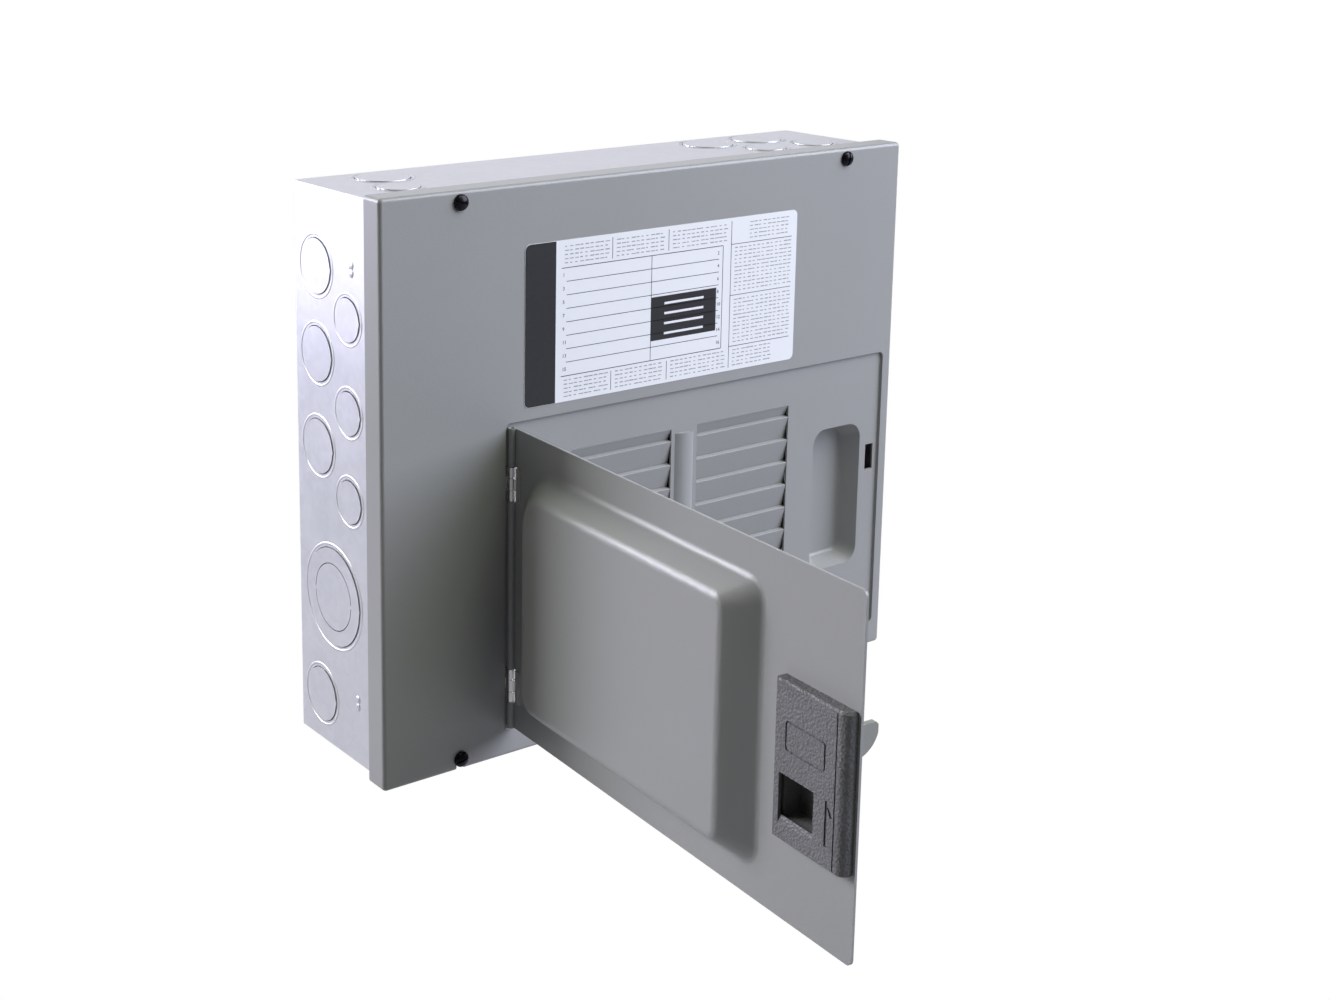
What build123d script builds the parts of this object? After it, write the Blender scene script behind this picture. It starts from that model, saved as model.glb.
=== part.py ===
from build123d import *
import math
import os

os.makedirs("parts", exist_ok=True)

# Residential load center: a galvanised box with a main-lug interior, closed by a painted
# cover that carries a hinged and latched door.
# +X is to the right seen from the front, the front faces -Y, and +Z is up.
# The origin is the centre of the back face, which stands against the wall.

# ---------------------------------------------------------------- driving dimensions (mm)
COVER_WIDTH = 334.0
COVER_HEIGHT = 289.0
PANEL_DEPTH = 85.7  # wall to the face of the cover
SHEET = 1.2
FLANGE_DEPTH = 13.6
SIDE_OVERHANG = 3.75  # the cover reaches past the box by this at the sides
END_OVERHANG = 2.6  # and by this at the top and bottom
COVER_GAP = 0.3
HALF_SPACE = 12.7  # height of one twist-out, half a breaker space
OPEN_ANGLE = 93.8  # the door stands open by this at rest

BOX_WIDTH = COVER_WIDTH - 2 * SIDE_OVERHANG
BOX_HEIGHT = COVER_HEIGHT - 2 * END_OVERHANG
BOX_DEPTH = PANEL_DEPTH - SHEET - COVER_GAP
INNER_X = BOX_WIDTH / 2 - SHEET
END_LIP = 9.0  # the end walls turn in at the front by this much

# Door well pressed into the cover
WELL_DEPTH = 1.5
WELL_LEFT = -96.2
WELL_RIGHT = 160.6
WELL_TOP = 27.8
WELL_BOTTOM = -131.2
FLOOR = PANEL_DEPTH - WELL_DEPTH  # the well's floor, in front of the wall

# Breaker windows
INTERIOR_X = 18.2  # centre line of the interior and of the two windows
WINDOW_WIDTH = 64.7
WINDOW_MID = 41.0  # centre of each window from the interior's centre line
STRIPS_TOP = 0.6
STRIP_COUNT = 8
STRIP_SHEET = 1.0
STRIP_SINK = 2.6  # the lower edge of each twist-out lies this far behind the floor
HEADER = 6.4  # height of the bent strip above the first twist-out
WINDOW_BOTTOM = STRIPS_TOP - STRIP_COUNT * HALF_SPACE
RIB_WIDTH = 12.6
RIB_HEIGHT = 2.0

# Pocket behind the latch, and the slot that its hook enters
POCKET = (111.0, -91.9, 146.7, -10.8)  # left, bottom, right, top
POCKET_DEPTH = 11.0
POCKET_DRAFT = 4.5
POCKET_CORNER = 9.0
SLOT = (151.3, -39.5, 157.1, -24.9)

# Screws that hold the cover
SCREW_XS = (-122.5, 126.5)
SCREW_Z = 138.8
SCREW_R = 1.55

# Hinge
HINGE_X = -93.0
HINGE_FRONT = FLOOR + 2.4  # the hinge axis, in front of the wall
CURL_R = 2.0
BORE_R = 1.2
PIN_R = 1.15
HINGE_HEIGHT = 17.0
HINGE_ZS = {"upper": -2.5, "lower": -106.8}
KNUCKLE_GAP = 0.3
END_KNUCKLE = 5.2
LEAF_SHEET = 0.8

# Door, in its own plane: along the door from the hinge, up, and outward from the hinge axis
DOOR_WIDTH = 250.6
DOOR_TOP = 25.6
DOOR_BOTTOM = -129.4
DOOR_OUTER = -0.8
DOOR_INNER = DOOR_OUTER - SHEET
BULGE_FOOT = (12.5, -115.0, 191.5, 9.5)
BULGE_TOP = (27.0, -106.5, 177.5, 1.0)
BULGE_HEIGHT = 12.0

# Latch, in the door's plane
BEZEL = (206.7, -91.4, 249.2, -23.4)
BEZEL_HEIGHT = 5.5
BEZEL_WALL = 1.5
FINGER_WINDOW = (210.5, -81.0, 231.5, -62.5)
CUP = (209.7, -83.2, 232.3, -60.3)
CUP_FLOOR = -8.5
LATCH_TRAVEL = 5.0
HOOK_LEFT = 244.7
HOOK_SHEET = 2.6
STAKE_PLACES = [(212.0, -26.8), (232.0, -26.8), (212.0, -87.6), (232.0, -87.6)]
STAKE_R = 1.2
SPRING_X = 221.0
SPRING_R = 1.35
SPRING_WIRE = 0.25
SPRING_TOP = -24.9
SPRING_FOOT = -48.0

angle = math.radians(OPEN_ANGLE)
door_along = Vector(math.cos(angle), -math.sin(angle), 0)
door_out = Vector(-math.sin(angle), -math.cos(angle), 0)
hinge_point = Vector(HINGE_X, -HINGE_FRONT, 0)
door_plane = Plane(origin=hinge_point, x_dir=door_along, z_dir=door_out)


def front_plane(distance):
    """The XZ plane this far in front of the wall, facing the front."""
    return Plane.XZ.offset(distance)


def span(left, bottom, right, top, corner=0, mode=Mode.ADD):
    """A rectangle in the open sketch, given by its sides."""
    with Locations(((left + right) / 2, (bottom + top) / 2)):
        if corner:
            RectangleRounded(right - left, top - bottom, corner, mode=mode)
        else:
            Rectangle(right - left, top - bottom, mode=mode)


def grow(sides, amount):
    """The same rectangle with every side moved outward by this amount."""
    left, bottom, right, top = sides
    return left - amount, bottom - amount, right + amount, top + amount


def slab(xs, ys, zs, mode=Mode.ADD):
    """A block in the open part, given by its spans along X, Y and Z."""
    centre = tuple((low + high) / 2 for low, high in (xs, ys, zs))
    with Locations(centre):
        Box(xs[1] - xs[0], ys[1] - ys[0], zs[1] - zs[0], mode=mode)


def save(part, label):
    part.label = label
    export_step(part, f"parts/{label}.step")


# ---------------------------------------------------------------- knockouts
# Trade sizes: the radius of each slug. The sheared ring round it is a narrow gap, and the slug
# stands a little proud of the wall.
HALF_INCH = 11.1
THREE_QUARTER = 14.1
ONE_INCH = 17.25
ONE_AND_HALF = 25.2
SHEAR_GAP = 0.45
SLUG_PROUD = 0.5
TAB_WIDTH = 2.0

# (distance from the wall, height, radii from the outside in)
side_knockouts = [
    (21.2, 102.6, (THREE_QUARTER,)),
    (21.2, 58.9, (THREE_QUARTER,)),
    (21.2, 12.1, (THREE_QUARTER,)),
    (21.2, -118.1, (THREE_QUARTER,)),
    (50.4, 81.2, (HALF_INCH,)),
    (50.4, 35.4, (HALF_INCH,)),
    (50.4, -8.9, (HALF_INCH,)),
    (33.9, -62.4, (ONE_AND_HALF, ONE_INCH)),
]
side_dimples = [(54.3, 106.3), (56.0, -110.6)]
right_knockouts = [(-back, up, radii) for back, up, radii in side_knockouts]
right_dimples = [(-back, up) for back, up in side_dimples]
# (x, distance from the wall, radii)
end_knockouts = [
    (-124.0, 19.5, (THREE_QUARTER,)),
    (-133.0, 48.0, (HALF_INCH,)),
    (86.0, 19.5, (THREE_QUARTER,)),
    (122.0, 19.5, (THREE_QUARTER,)),
    (103.0, 48.0, (HALF_INCH,)),
    (138.0, 48.0, (HALF_INCH,)),
]

left_plane = Plane(origin=(-BOX_WIDTH / 2, 0, 0), x_dir=(0, -1, 0), z_dir=(-1, 0, 0))
right_plane = Plane(origin=(BOX_WIDTH / 2, 0, 0), x_dir=(0, 1, 0), z_dir=(1, 0, 0))
top_plane = Plane(origin=(0, 0, BOX_HEIGHT / 2), x_dir=(1, 0, 0), z_dir=(0, 0, 1))
bottom_plane = Plane(origin=(0, 0, -BOX_HEIGHT / 2), x_dir=(1, 0, 0), z_dir=(0, 0, -1))


def slugs(wall_plane, places):
    """Every slug of one wall: discs, and one disc within a ring, each held by two tabs."""
    with BuildPart() as group:
        with BuildSketch(wall_plane.offset(SLUG_PROUD)):
            for across, up, radii in places:
                for outer in radii:
                    with Locations((across, up)):
                        Circle(outer - SHEAR_GAP)
                        Rectangle(2 * outer - 0.08, TAB_WIDTH)
                        for inner in [r for r in radii if r < outer]:
                            Circle(inner, mode=Mode.SUBTRACT)
        extrude(amount=-SHEET)
    return group.part


save(slugs(left_plane, side_knockouts), "left_knockouts")
save(slugs(right_plane, right_knockouts), "right_knockouts")
save(slugs(top_plane, [(x, -back, r) for x, back, r in end_knockouts]), "top_knockouts")
save(slugs(bottom_plane, end_knockouts), "bottom_knockouts")

# ---------------------------------------------------------------- box
MOUNT_X = 240.0
MOUNT_Z = 220.0
MOUNT_R = 3.25



def side_wall(wall_plane, direction, places, dimples):
    """One side of the folded box: its wall, its knockout holes and the bend into the back."""
    xs = sorted((direction * INNER_X, direction * BOX_WIDTH / 2))
    with BuildPart() as wall:
        slab(xs, (-BOX_DEPTH, 0), (-BOX_HEIGHT / 2, BOX_HEIGHT / 2))
        rear = wall.edges().filter_by(Axis.Z).filter_by_position(Axis.Y, -0.01, 0.01)
        fillet(rear.sort_by(Axis.X)[0 if direction < 0 else -1], radius=1.1)
        with BuildSketch(wall_plane):
            for across, up, radii in places:
                with Locations((across, up)):
                    Circle(radii[0])
            with Locations(dimples):
                Circle(1.6)
        extrude(amount=-SHEET, mode=Mode.SUBTRACT)
    return wall.part


save(side_wall(left_plane, -1, side_knockouts, side_dimples), "left_wall")
save(side_wall(right_plane, 1, right_knockouts, right_dimples), "right_wall")

with BuildPart() as back_wall:
    slab((-INNER_X, INNER_X), (-SHEET, 0), (-BOX_HEIGHT / 2, BOX_HEIGHT / 2))
    with BuildSketch(Plane.XZ):
        with GridLocations(MOUNT_X, MOUNT_Z, 2, 2):
            Circle(MOUNT_R)
    extrude(amount=SHEET, both=True, mode=Mode.SUBTRACT)
save(back_wall.part, "back_wall")


def end_wall(direction):
    """The top wall (direction 1) or the bottom wall (-1), with its bent flanges."""
    outer = direction * BOX_HEIGHT / 2
    flange_end = outer - direction * 16.0
    lip_end = outer - direction * END_LIP
    plate_zs = sorted((outer, outer - direction * SHEET))
    flange_zs = sorted((outer, flange_end))
    with BuildPart() as wall:
        slab((-INNER_X, INNER_X), (-BOX_DEPTH, -SHEET), plate_zs)
        slab((-INNER_X, INNER_X), (-2 * SHEET, -SHEET), flange_zs)
        slab((-INNER_X, INNER_X), (-BOX_DEPTH, -BOX_DEPTH + SHEET), sorted((outer, lip_end)))
        slab((-INNER_X, -INNER_X + SHEET), (-BOX_DEPTH + SHEET, -SHEET), flange_zs)
        slab((INNER_X - SHEET, INNER_X), (-BOX_DEPTH + SHEET, -SHEET), flange_zs)
        with BuildSketch(front_plane(BOX_DEPTH)):
            for x in SCREW_XS:
                with Locations((x, direction * SCREW_Z)):
                    Circle(SCREW_R + 0.05)
        extrude(amount=-SHEET, mode=Mode.SUBTRACT)
        with BuildSketch(Plane.XY.offset(outer)):
            for x, back, radii in end_knockouts:
                with Locations((x, -back)):
                    Circle(radii[0])
        extrude(amount=-direction * SHEET, mode=Mode.SUBTRACT)
    return wall.part


save(end_wall(1), "top_end_wall")
save(end_wall(-1), "bottom_end_wall")

# ---------------------------------------------------------------- interior
BASE_HALF = 64.0
BASE_ZS = (-106.0, 44.0)
BASE_BACK = 20.0
BASE_FRONT = 24.0
SPINE_FRONT = 40.5
BAR_FRONT = 43.5
BAR_ZS = (-100.0, 52.0)
BAR_CENTRE = 10.0
BAR_HALF = 5.5
FOOT_PLACES = [(INTERIOR_X + side * 50.0, z) for side in (-1, 1) for z in (-70.0, 30.0)]
BAR_SCREW_PLACES = [(INTERIOR_X + side * BAR_CENTRE, z) for side in (-1, 1) for z in (-94.0, 14.0)]

with BuildPart() as interior_base:
    slab((INTERIOR_X - BASE_HALF, INTERIOR_X + BASE_HALF), (-BASE_FRONT, -BASE_BACK), BASE_ZS)
    slab((INTERIOR_X - 18, INTERIOR_X + 18), (-SPINE_FRONT, -BASE_FRONT), (-103.0, 41.0))
    for z in (STRIPS_TOP - 2 * HALF_SPACE * row for row in range(5)):
        slab((INTERIOR_X - 56, INTERIOR_X + 56), (-BASE_FRONT - 7, -BASE_FRONT), (z - 1, z + 1))
    with BuildSketch(front_plane(BASE_BACK)):
        with Locations(FOOT_PLACES):
            Circle(5.5)
    extrude(amount=-(BASE_BACK - SHEET))
    with BuildSketch(front_plane(SHEET)):
        with Locations(FOOT_PLACES):
            Circle(2.2)
    extrude(amount=BASE_FRONT, mode=Mode.SUBTRACT)
    with BuildSketch(front_plane(SPINE_FRONT)):
        with Locations(BAR_SCREW_PLACES):
            Circle(2.05)
    extrude(amount=-9.0, mode=Mode.SUBTRACT)
save(interior_base.part, "interior_base")


def bus_bar(side):
    """One flat bus bar with a stab for each full breaker space."""
    centre = INTERIOR_X + side * BAR_CENTRE
    xs = (centre - BAR_HALF, centre + BAR_HALF)
    with BuildPart() as bar:
        slab(xs, (-BAR_FRONT, -SPINE_FRONT), BAR_ZS)
        for row in range(STRIP_COUNT // 2):
            z = STRIPS_TOP - HALF_SPACE * (2 * row + 1)
            slab(xs, (-BAR_FRONT - 13.5, -BAR_FRONT), (z - 0.8, z + 0.8))
        with BuildSketch(front_plane(SPINE_FRONT)):
            with Locations([place for place in BAR_SCREW_PLACES if abs(place[0] - centre) < 1]):
                Circle(2.05)
        extrude(amount=BAR_FRONT - SPINE_FRONT, mode=Mode.SUBTRACT)
    return bar.part


def breaker_rail(side):
    """A formed steel rail with a front hook that the breakers clip under."""
    web = sorted((INTERIOR_X + side * BASE_HALF, INTERIOR_X + side * (BASE_HALF + 1.6)))
    hook = sorted((INTERIOR_X + side * (BASE_HALF - 4.4), INTERIOR_X + side * (BASE_HALF + 1.6)))
    foot = sorted((INTERIOR_X + side * (BASE_HALF - 6.0), INTERIOR_X + side * (BASE_HALF + 1.6)))
    with BuildPart() as rail:
        slab(web, (-46.0, -18.4), (-102.0, 2.0))
        slab(hook, (-46.0, -44.4), (-102.0, 2.0))
        slab(foot, (-BASE_BACK, -18.4), (-102.0, 2.0))
    return rail.part


for side, word in ((-1, "left"), (1, "right")):
    save(bus_bar(side), f"bus_bar_{word}")
    save(breaker_rail(side), f"breaker_rail_{word}")

LUG_BORE_R = 4.6
LUG_HALF = 7.0
LUG_HEIGHT = 20.5
LUG_SCREW_R = 4.0


def lug_body(centre_x, back, zs):
    """A wire lug: a block with a vertical wire bore and a tapped hole for its screw."""
    middle = (zs[0] + zs[1]) / 2
    with BuildPart() as lug:
        slab((centre_x - LUG_HALF, centre_x + LUG_HALF), (-back - LUG_HEIGHT, -back), zs)
        with BuildSketch(Plane.XY.offset(zs[0])):
            with Locations((centre_x, -back - 7.5)):
                Circle(LUG_BORE_R)
        extrude(amount=zs[1] - zs[0], mode=Mode.SUBTRACT)
        with BuildSketch(front_plane(back + 7.5)):
            with Locations((centre_x, middle)):
                Circle(LUG_SCREW_R + 0.05)
        extrude(amount=LUG_HEIGHT, mode=Mode.SUBTRACT)
    return lug.part


def lug_screw(centre_x, back, zs):
    """The lug's set screw, with a hexagon socket, stopped clear of the wire bore."""
    middle = (zs[0] + zs[1]) / 2
    with BuildPart() as screw:
        with BuildSketch(front_plane(back + 13.0)):
            with Locations((centre_x, middle)):
                Circle(LUG_SCREW_R)
        extrude(amount=9.5)
        with BuildSketch(front_plane(back + 18.0)):
            with Locations((centre_x, middle)):
                RegularPolygon(2.4, 6)
        extrude(amount=5.0, mode=Mode.SUBTRACT)
    return screw.part


MAIN_LUG_ZS = (26.0, 50.0)
MAIN_LUG_XS = (INTERIOR_X - BAR_CENTRE, INTERIOR_X + BAR_CENTRE)
with BuildPart() as main_lugs:
    for x in MAIN_LUG_XS:
        add(lug_body(x, BAR_FRONT, MAIN_LUG_ZS))
save(main_lugs.part, "main_lugs")
with BuildPart() as main_lug_screws:
    for x in MAIN_LUG_XS:
        add(lug_screw(x, BAR_FRONT, MAIN_LUG_ZS))
save(main_lug_screws.part, "main_lug_screws")

NEUTRAL_LEFT = -79.5
NEUTRAL_RIGHT = 110.5
NEUTRAL_HALF = 4.5
NEUTRAL_BACK = 24.0
NEUTRAL_FRONT = 34.0
NEUTRAL_ZS = (-104.0, 34.0)
NEUTRAL_PITCH = 6.5
TERMINAL_COUNT = 13
TERMINAL_ZS = [-78.0 + NEUTRAL_PITCH * n for n in range(TERMINAL_COUNT)]
BONDING_Z = -98.0
STRAP_ZS = (-93.0, -84.0)


def neutral_bar(centre_x):
    """A terminal bar: a wire hole through its side and a tapped hole for each circuit."""
    with BuildPart() as bar:
        slab((centre_x - NEUTRAL_HALF, centre_x + NEUTRAL_HALF), (-NEUTRAL_FRONT, -NEUTRAL_BACK), NEUTRAL_ZS)
        with BuildSketch(Plane.YZ.offset(centre_x - NEUTRAL_HALF)):
            with Locations([(-NEUTRAL_BACK - 4.0, z) for z in TERMINAL_ZS]):
                Circle(2.3)
        extrude(amount=2 * NEUTRAL_HALF, mode=Mode.SUBTRACT)
        with BuildSketch(front_plane(NEUTRAL_BACK + 4.0)):
            with Locations([(centre_x, z) for z in TERMINAL_ZS]):
                Circle(2.05)
        extrude(amount=10.0, mode=Mode.SUBTRACT)
        with BuildSketch(front_plane(NEUTRAL_BACK)):
            with Locations((centre_x, BONDING_Z)):
                Circle(2.45)
        extrude(amount=10.0, mode=Mode.SUBTRACT)
    return bar.part


save(neutral_bar(NEUTRAL_LEFT), "neutral_bar_left")
save(neutral_bar(NEUTRAL_RIGHT), "neutral_bar_right")

with BuildPart() as neutral_screws:
    with BuildSketch(front_plane(NEUTRAL_BACK + 6.6)):
        for x in (NEUTRAL_LEFT, NEUTRAL_RIGHT):
            with Locations([(x, z) for z in TERMINAL_ZS]):
                Circle(2.0)
    extrude(amount=NEUTRAL_FRONT - NEUTRAL_BACK - 6.6)
    with BuildSketch(front_plane(NEUTRAL_FRONT)):
        for x in (NEUTRAL_LEFT, NEUTRAL_RIGHT):
            with Locations([(x, z) for z in TERMINAL_ZS]):
                Circle(2.9)
    extrude(amount=2.4)
    with BuildSketch(front_plane(NEUTRAL_FRONT + 1.4)):
        for x in (NEUTRAL_LEFT, NEUTRAL_RIGHT):
            with Locations([(x, z) for z in TERMINAL_ZS]):
                Rectangle(6.0, 0.9)
    extrude(amount=1.0, mode=Mode.SUBTRACT)
save(neutral_screws.part, "neutral_screws")

NEUTRAL_LUG_ZS = (12.0, 33.0)
save(lug_body(NEUTRAL_LEFT, NEUTRAL_FRONT, NEUTRAL_LUG_ZS), "neutral_lug")
save(lug_screw(NEUTRAL_LEFT, NEUTRAL_FRONT, NEUTRAL_LUG_ZS), "neutral_lug_screw")

with BuildPart() as neutral_strap:
    slab((NEUTRAL_LEFT - 4.5, NEUTRAL_RIGHT + 4.5), (-16.0, -14.4), STRAP_ZS)
    for x in (NEUTRAL_LEFT, NEUTRAL_RIGHT):
        slab((x - 4.5, x + 4.5), (-NEUTRAL_BACK, -14.4), (STRAP_ZS[0], STRAP_ZS[0] + 1.6))
        slab((x - 4.5, x + 4.5), (-NEUTRAL_BACK, -NEUTRAL_BACK + 1.6), STRAP_ZS)
save(neutral_strap.part, "neutral_strap")

with BuildPart() as neutral_insulators:
    for x in (NEUTRAL_LEFT, NEUTRAL_RIGHT):
        for z in (-62.0, 22.0):
            slab((x - 6.5, x + 6.5), (-NEUTRAL_BACK, -SHEET), (z - 7.0, z + 7.0))
save(neutral_insulators.part, "neutral_insulators")

with BuildPart() as bonding_screw:
    with BuildSketch(front_plane(SHEET)):
        with Locations((NEUTRAL_LEFT, BONDING_Z)):
            Circle(2.4)
    extrude(amount=NEUTRAL_FRONT - SHEET)
    with BuildSketch(front_plane(NEUTRAL_FRONT)):
        with Locations((NEUTRAL_LEFT, BONDING_Z)):
            RegularPolygon(4.8, 6)
    extrude(amount=3.2)
    with BuildSketch(front_plane(NEUTRAL_FRONT + 2.0)):
        with Locations((NEUTRAL_LEFT, BONDING_Z)):
            Rectangle(10.0, 1.2)
    extrude(amount=1.2, mode=Mode.SUBTRACT)
save(bonding_screw.part, "bonding_screw")


def pan_screws(places, seat, head_r, head_height, shank_r, shank_end):
    """Slotted pan-head screws driven towards the wall."""
    with BuildPart() as screws:
        with BuildSketch(front_plane(seat)):
            with Locations(places):
                Circle(head_r)
        extrude(amount=head_height)
        rims = screws.faces().filter_by(Axis.Y).sort_by(Axis.Y)[: len(places)]
        fillet(rims.edges(), radius=head_height * 0.6)
        with BuildSketch(front_plane(shank_end)):
            with Locations(places):
                Circle(shank_r)
        extrude(amount=seat - shank_end)
        with BuildSketch(front_plane(seat + head_height * 0.55)):
            with Locations(places):
                Rectangle(2.2 * head_r, 1.0)
        extrude(amount=head_height, mode=Mode.SUBTRACT)
    return screws.part


save(pan_screws(FOOT_PLACES, BASE_FRONT, 4.2, 2.4, 2.15, SHEET), "interior_mount_screws")
save(pan_screws(BAR_SCREW_PLACES, BAR_FRONT, 3.8, 2.2, 2.0, SPINE_FRONT - 8.0), "bus_screws")

# ---------------------------------------------------------------- cover
LEFT_WINDOW = INTERIOR_X - WINDOW_MID
RIGHT_WINDOW = INTERIOR_X + WINDOW_MID
HALF_WINDOW = WINDOW_WIDTH / 2
RIB_ARC = (RIB_WIDTH**2 / 4 + RIB_HEIGHT**2) / (2 * RIB_HEIGHT)
RIB_CENTRE = -(FLOOR + RIB_HEIGHT - RIB_ARC)
SLIT_XS = (HINGE_X - CURL_R - 0.2, HINGE_X - CURL_R + LEAF_SHEET + 0.2)


def tilted_strip_plane(centre_x, top, height):
    """The plane of a strip whose top edge is flush and whose lower edge sinks into the box."""
    lean = math.asin(STRIP_SINK / height)
    return Plane(
        origin=(centre_x, -FLOOR, top),
        x_dir=(1, 0, 0),
        z_dir=(0, -math.cos(lean), -math.sin(lean)),
    )


def pocket_solid(growth, front, back):
    """The latch pocket's form between two distances from the wall."""
    foot = grow(POCKET, growth)
    head = grow(POCKET, growth - POCKET_DRAFT)
    with BuildPart(mode=Mode.PRIVATE) as form:
        with BuildSketch(front_plane(front)):
            span(*foot, corner=POCKET_CORNER + growth)
        with BuildSketch(front_plane(back)):
            span(*head, corner=POCKET_CORNER - POCKET_DRAFT / 2 + growth)
        loft()
    return form.part


pocket_outside = pocket_solid(SHEET, FLOOR - 0.2, FLOOR - POCKET_DEPTH - SHEET)
pocket_inside = pocket_solid(0, FLOOR, FLOOR - POCKET_DEPTH)
pocket_outside = fillet(pocket_outside.faces().sort_by(Axis.Y)[-1].edges(), radius=3.4)
pocket_inside = fillet(pocket_inside.faces().sort_by(Axis.Y)[-1].edges(), radius=2.6)

with BuildPart() as cover:
    with BuildSketch(front_plane(PANEL_DEPTH - FLANGE_DEPTH)):
        Rectangle(COVER_WIDTH, COVER_HEIGHT)
    extrude(amount=FLANGE_DEPTH)
    fillet(cover.edges().filter_by(Axis.Y), radius=2.2)
    fillet(cover.faces().sort_by(Axis.Y)[0].edges(), radius=2.0)
    with BuildSketch(front_plane(PANEL_DEPTH - FLANGE_DEPTH)):
        RectangleRounded(COVER_WIDTH - 2 * SHEET, COVER_HEIGHT - 2 * SHEET, 1.0)
    extrude(amount=FLANGE_DEPTH - SHEET, mode=Mode.SUBTRACT)
    # the well: its floor stands behind the face by WELL_DEPTH
    well = (WELL_LEFT, WELL_BOTTOM, WELL_RIGHT, WELL_TOP)
    with BuildSketch(front_plane(PANEL_DEPTH - SHEET)):
        span(*grow(well, SHEET), corner=4.0)
    extrude(amount=-WELL_DEPTH)
    with BuildSketch(front_plane(PANEL_DEPTH)):
        span(*well, corner=3.0)
    extrude(amount=-WELL_DEPTH, mode=Mode.SUBTRACT)
    well_floor = cover.faces().filter_by(Axis.Y).filter_by_position(Axis.Y, -FLOOR - 0.01, -FLOOR + 0.01)
    fillet(well_floor.edges(), radius=0.7)
    add(pocket_outside)
    add(pocket_inside, mode=Mode.SUBTRACT)
    # breaker windows, each with the bent strip above its first twist-out
    with BuildSketch(front_plane(PANEL_DEPTH)):
        for x in (LEFT_WINDOW, RIGHT_WINDOW):
            span(x - HALF_WINDOW, WINDOW_BOTTOM, x + HALF_WINDOW, STRIPS_TOP + HEADER)
    extrude(amount=-2 * (WELL_DEPTH + SHEET), mode=Mode.SUBTRACT)
    for x in (LEFT_WINDOW, RIGHT_WINDOW):
        with BuildSketch(tilted_strip_plane(x, STRIPS_TOP + HEADER + 0.5, HEADER + 0.3)):
            span(-HALF_WINDOW + 0.35, -HEADER - 0.3, HALF_WINDOW - 0.35, 0.3)
        extrude(amount=-STRIP_SHEET)
    # the rounded rib between the windows, raised on the front and hollow behind
    with BuildSketch(Plane.XY.offset(WINDOW_BOTTOM + 4)):
        with Locations((INTERIOR_X, RIB_CENTRE)):
            Circle(RIB_ARC)
        with Locations((INTERIOR_X, -FLOOR - RIB_HEIGHT / 2)):
            Rectangle(RIB_WIDTH, RIB_HEIGHT, mode=Mode.INTERSECT)
    extrude(amount=STRIPS_TOP - WINDOW_BOTTOM)
    with BuildSketch(Plane.XY.offset(WINDOW_BOTTOM + 6)):
        with Locations((INTERIOR_X, RIB_CENTRE)):
            Circle(RIB_ARC - SHEET)
        with Locations((INTERIOR_X, -FLOOR + SHEET - RIB_HEIGHT / 2)):
            Rectangle(RIB_WIDTH, RIB_HEIGHT, mode=Mode.INTERSECT)
    extrude(amount=STRIPS_TOP - WINDOW_BOTTOM - 4, mode=Mode.SUBTRACT)
    # the latch slot, the hinge slits, the upper screw holes and the lower open notches
    with BuildSketch(front_plane(PANEL_DEPTH)):
        span(*SLOT)
        for z in HINGE_ZS.values():
            span(SLIT_XS[0], z - HINGE_HEIGHT / 2 - 0.3, SLIT_XS[1], z + HINGE_HEIGHT / 2 + 0.3)
        for x in SCREW_XS:
            with Locations((x, SCREW_Z)):
                Circle(2.4)
            with Locations((x, -SCREW_Z)):
                Circle(2.6)
            span(x - 2.6, -COVER_HEIGHT / 2 - 1, x + 2.6, -SCREW_Z)
    extrude(amount=-2 * (WELL_DEPTH + SHEET), mode=Mode.SUBTRACT)
save(cover.part, "cover")


def twistouts(centre_x):
    """One column of louvre-like strips, each held by a tab at either end of its top edge."""
    with BuildPart() as column:
        for row in range(STRIP_COUNT):
            top = STRIPS_TOP - row * HALF_SPACE
            with BuildSketch(tilted_strip_plane(centre_x, top, HALF_SPACE)):
                span(-HALF_WINDOW + 0.35, -HALF_SPACE + 0.35, HALF_WINDOW - 0.35, 0)
                span(-HALF_WINDOW, -2.6, HALF_WINDOW, -0.4)
            extrude(amount=-STRIP_SHEET)
    return column.part


save(twistouts(LEFT_WINDOW), "left_twistouts")
save(twistouts(RIGHT_WINDOW), "right_twistouts")

cover_screw_places = [(x, z) for x in SCREW_XS for z in (-SCREW_Z, SCREW_Z)]
save(pan_screws(cover_screw_places, PANEL_DEPTH, 4.35, 2.6, SCREW_R, PANEL_DEPTH - 12.0), "cover_screws")

LABEL = (-85.5, 33.6, 91.5, 114.6)
LABEL_SHEET = 0.2
with BuildPart() as directory_label:
    with BuildSketch(front_plane(PANEL_DEPTH)):
        span(*LABEL, corner=3.0)
    extrude(amount=LABEL_SHEET)
save(directory_label.part, "directory_label")

# ---------------------------------------------------------------- hinges


def knuckle_sketch(bore_r):
    """The section of a hinge knuckle round the hinge axis."""
    with Locations((HINGE_X, -HINGE_FRONT)):
        Circle(CURL_R)
        Circle(bore_r, mode=Mode.SUBTRACT)


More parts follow.
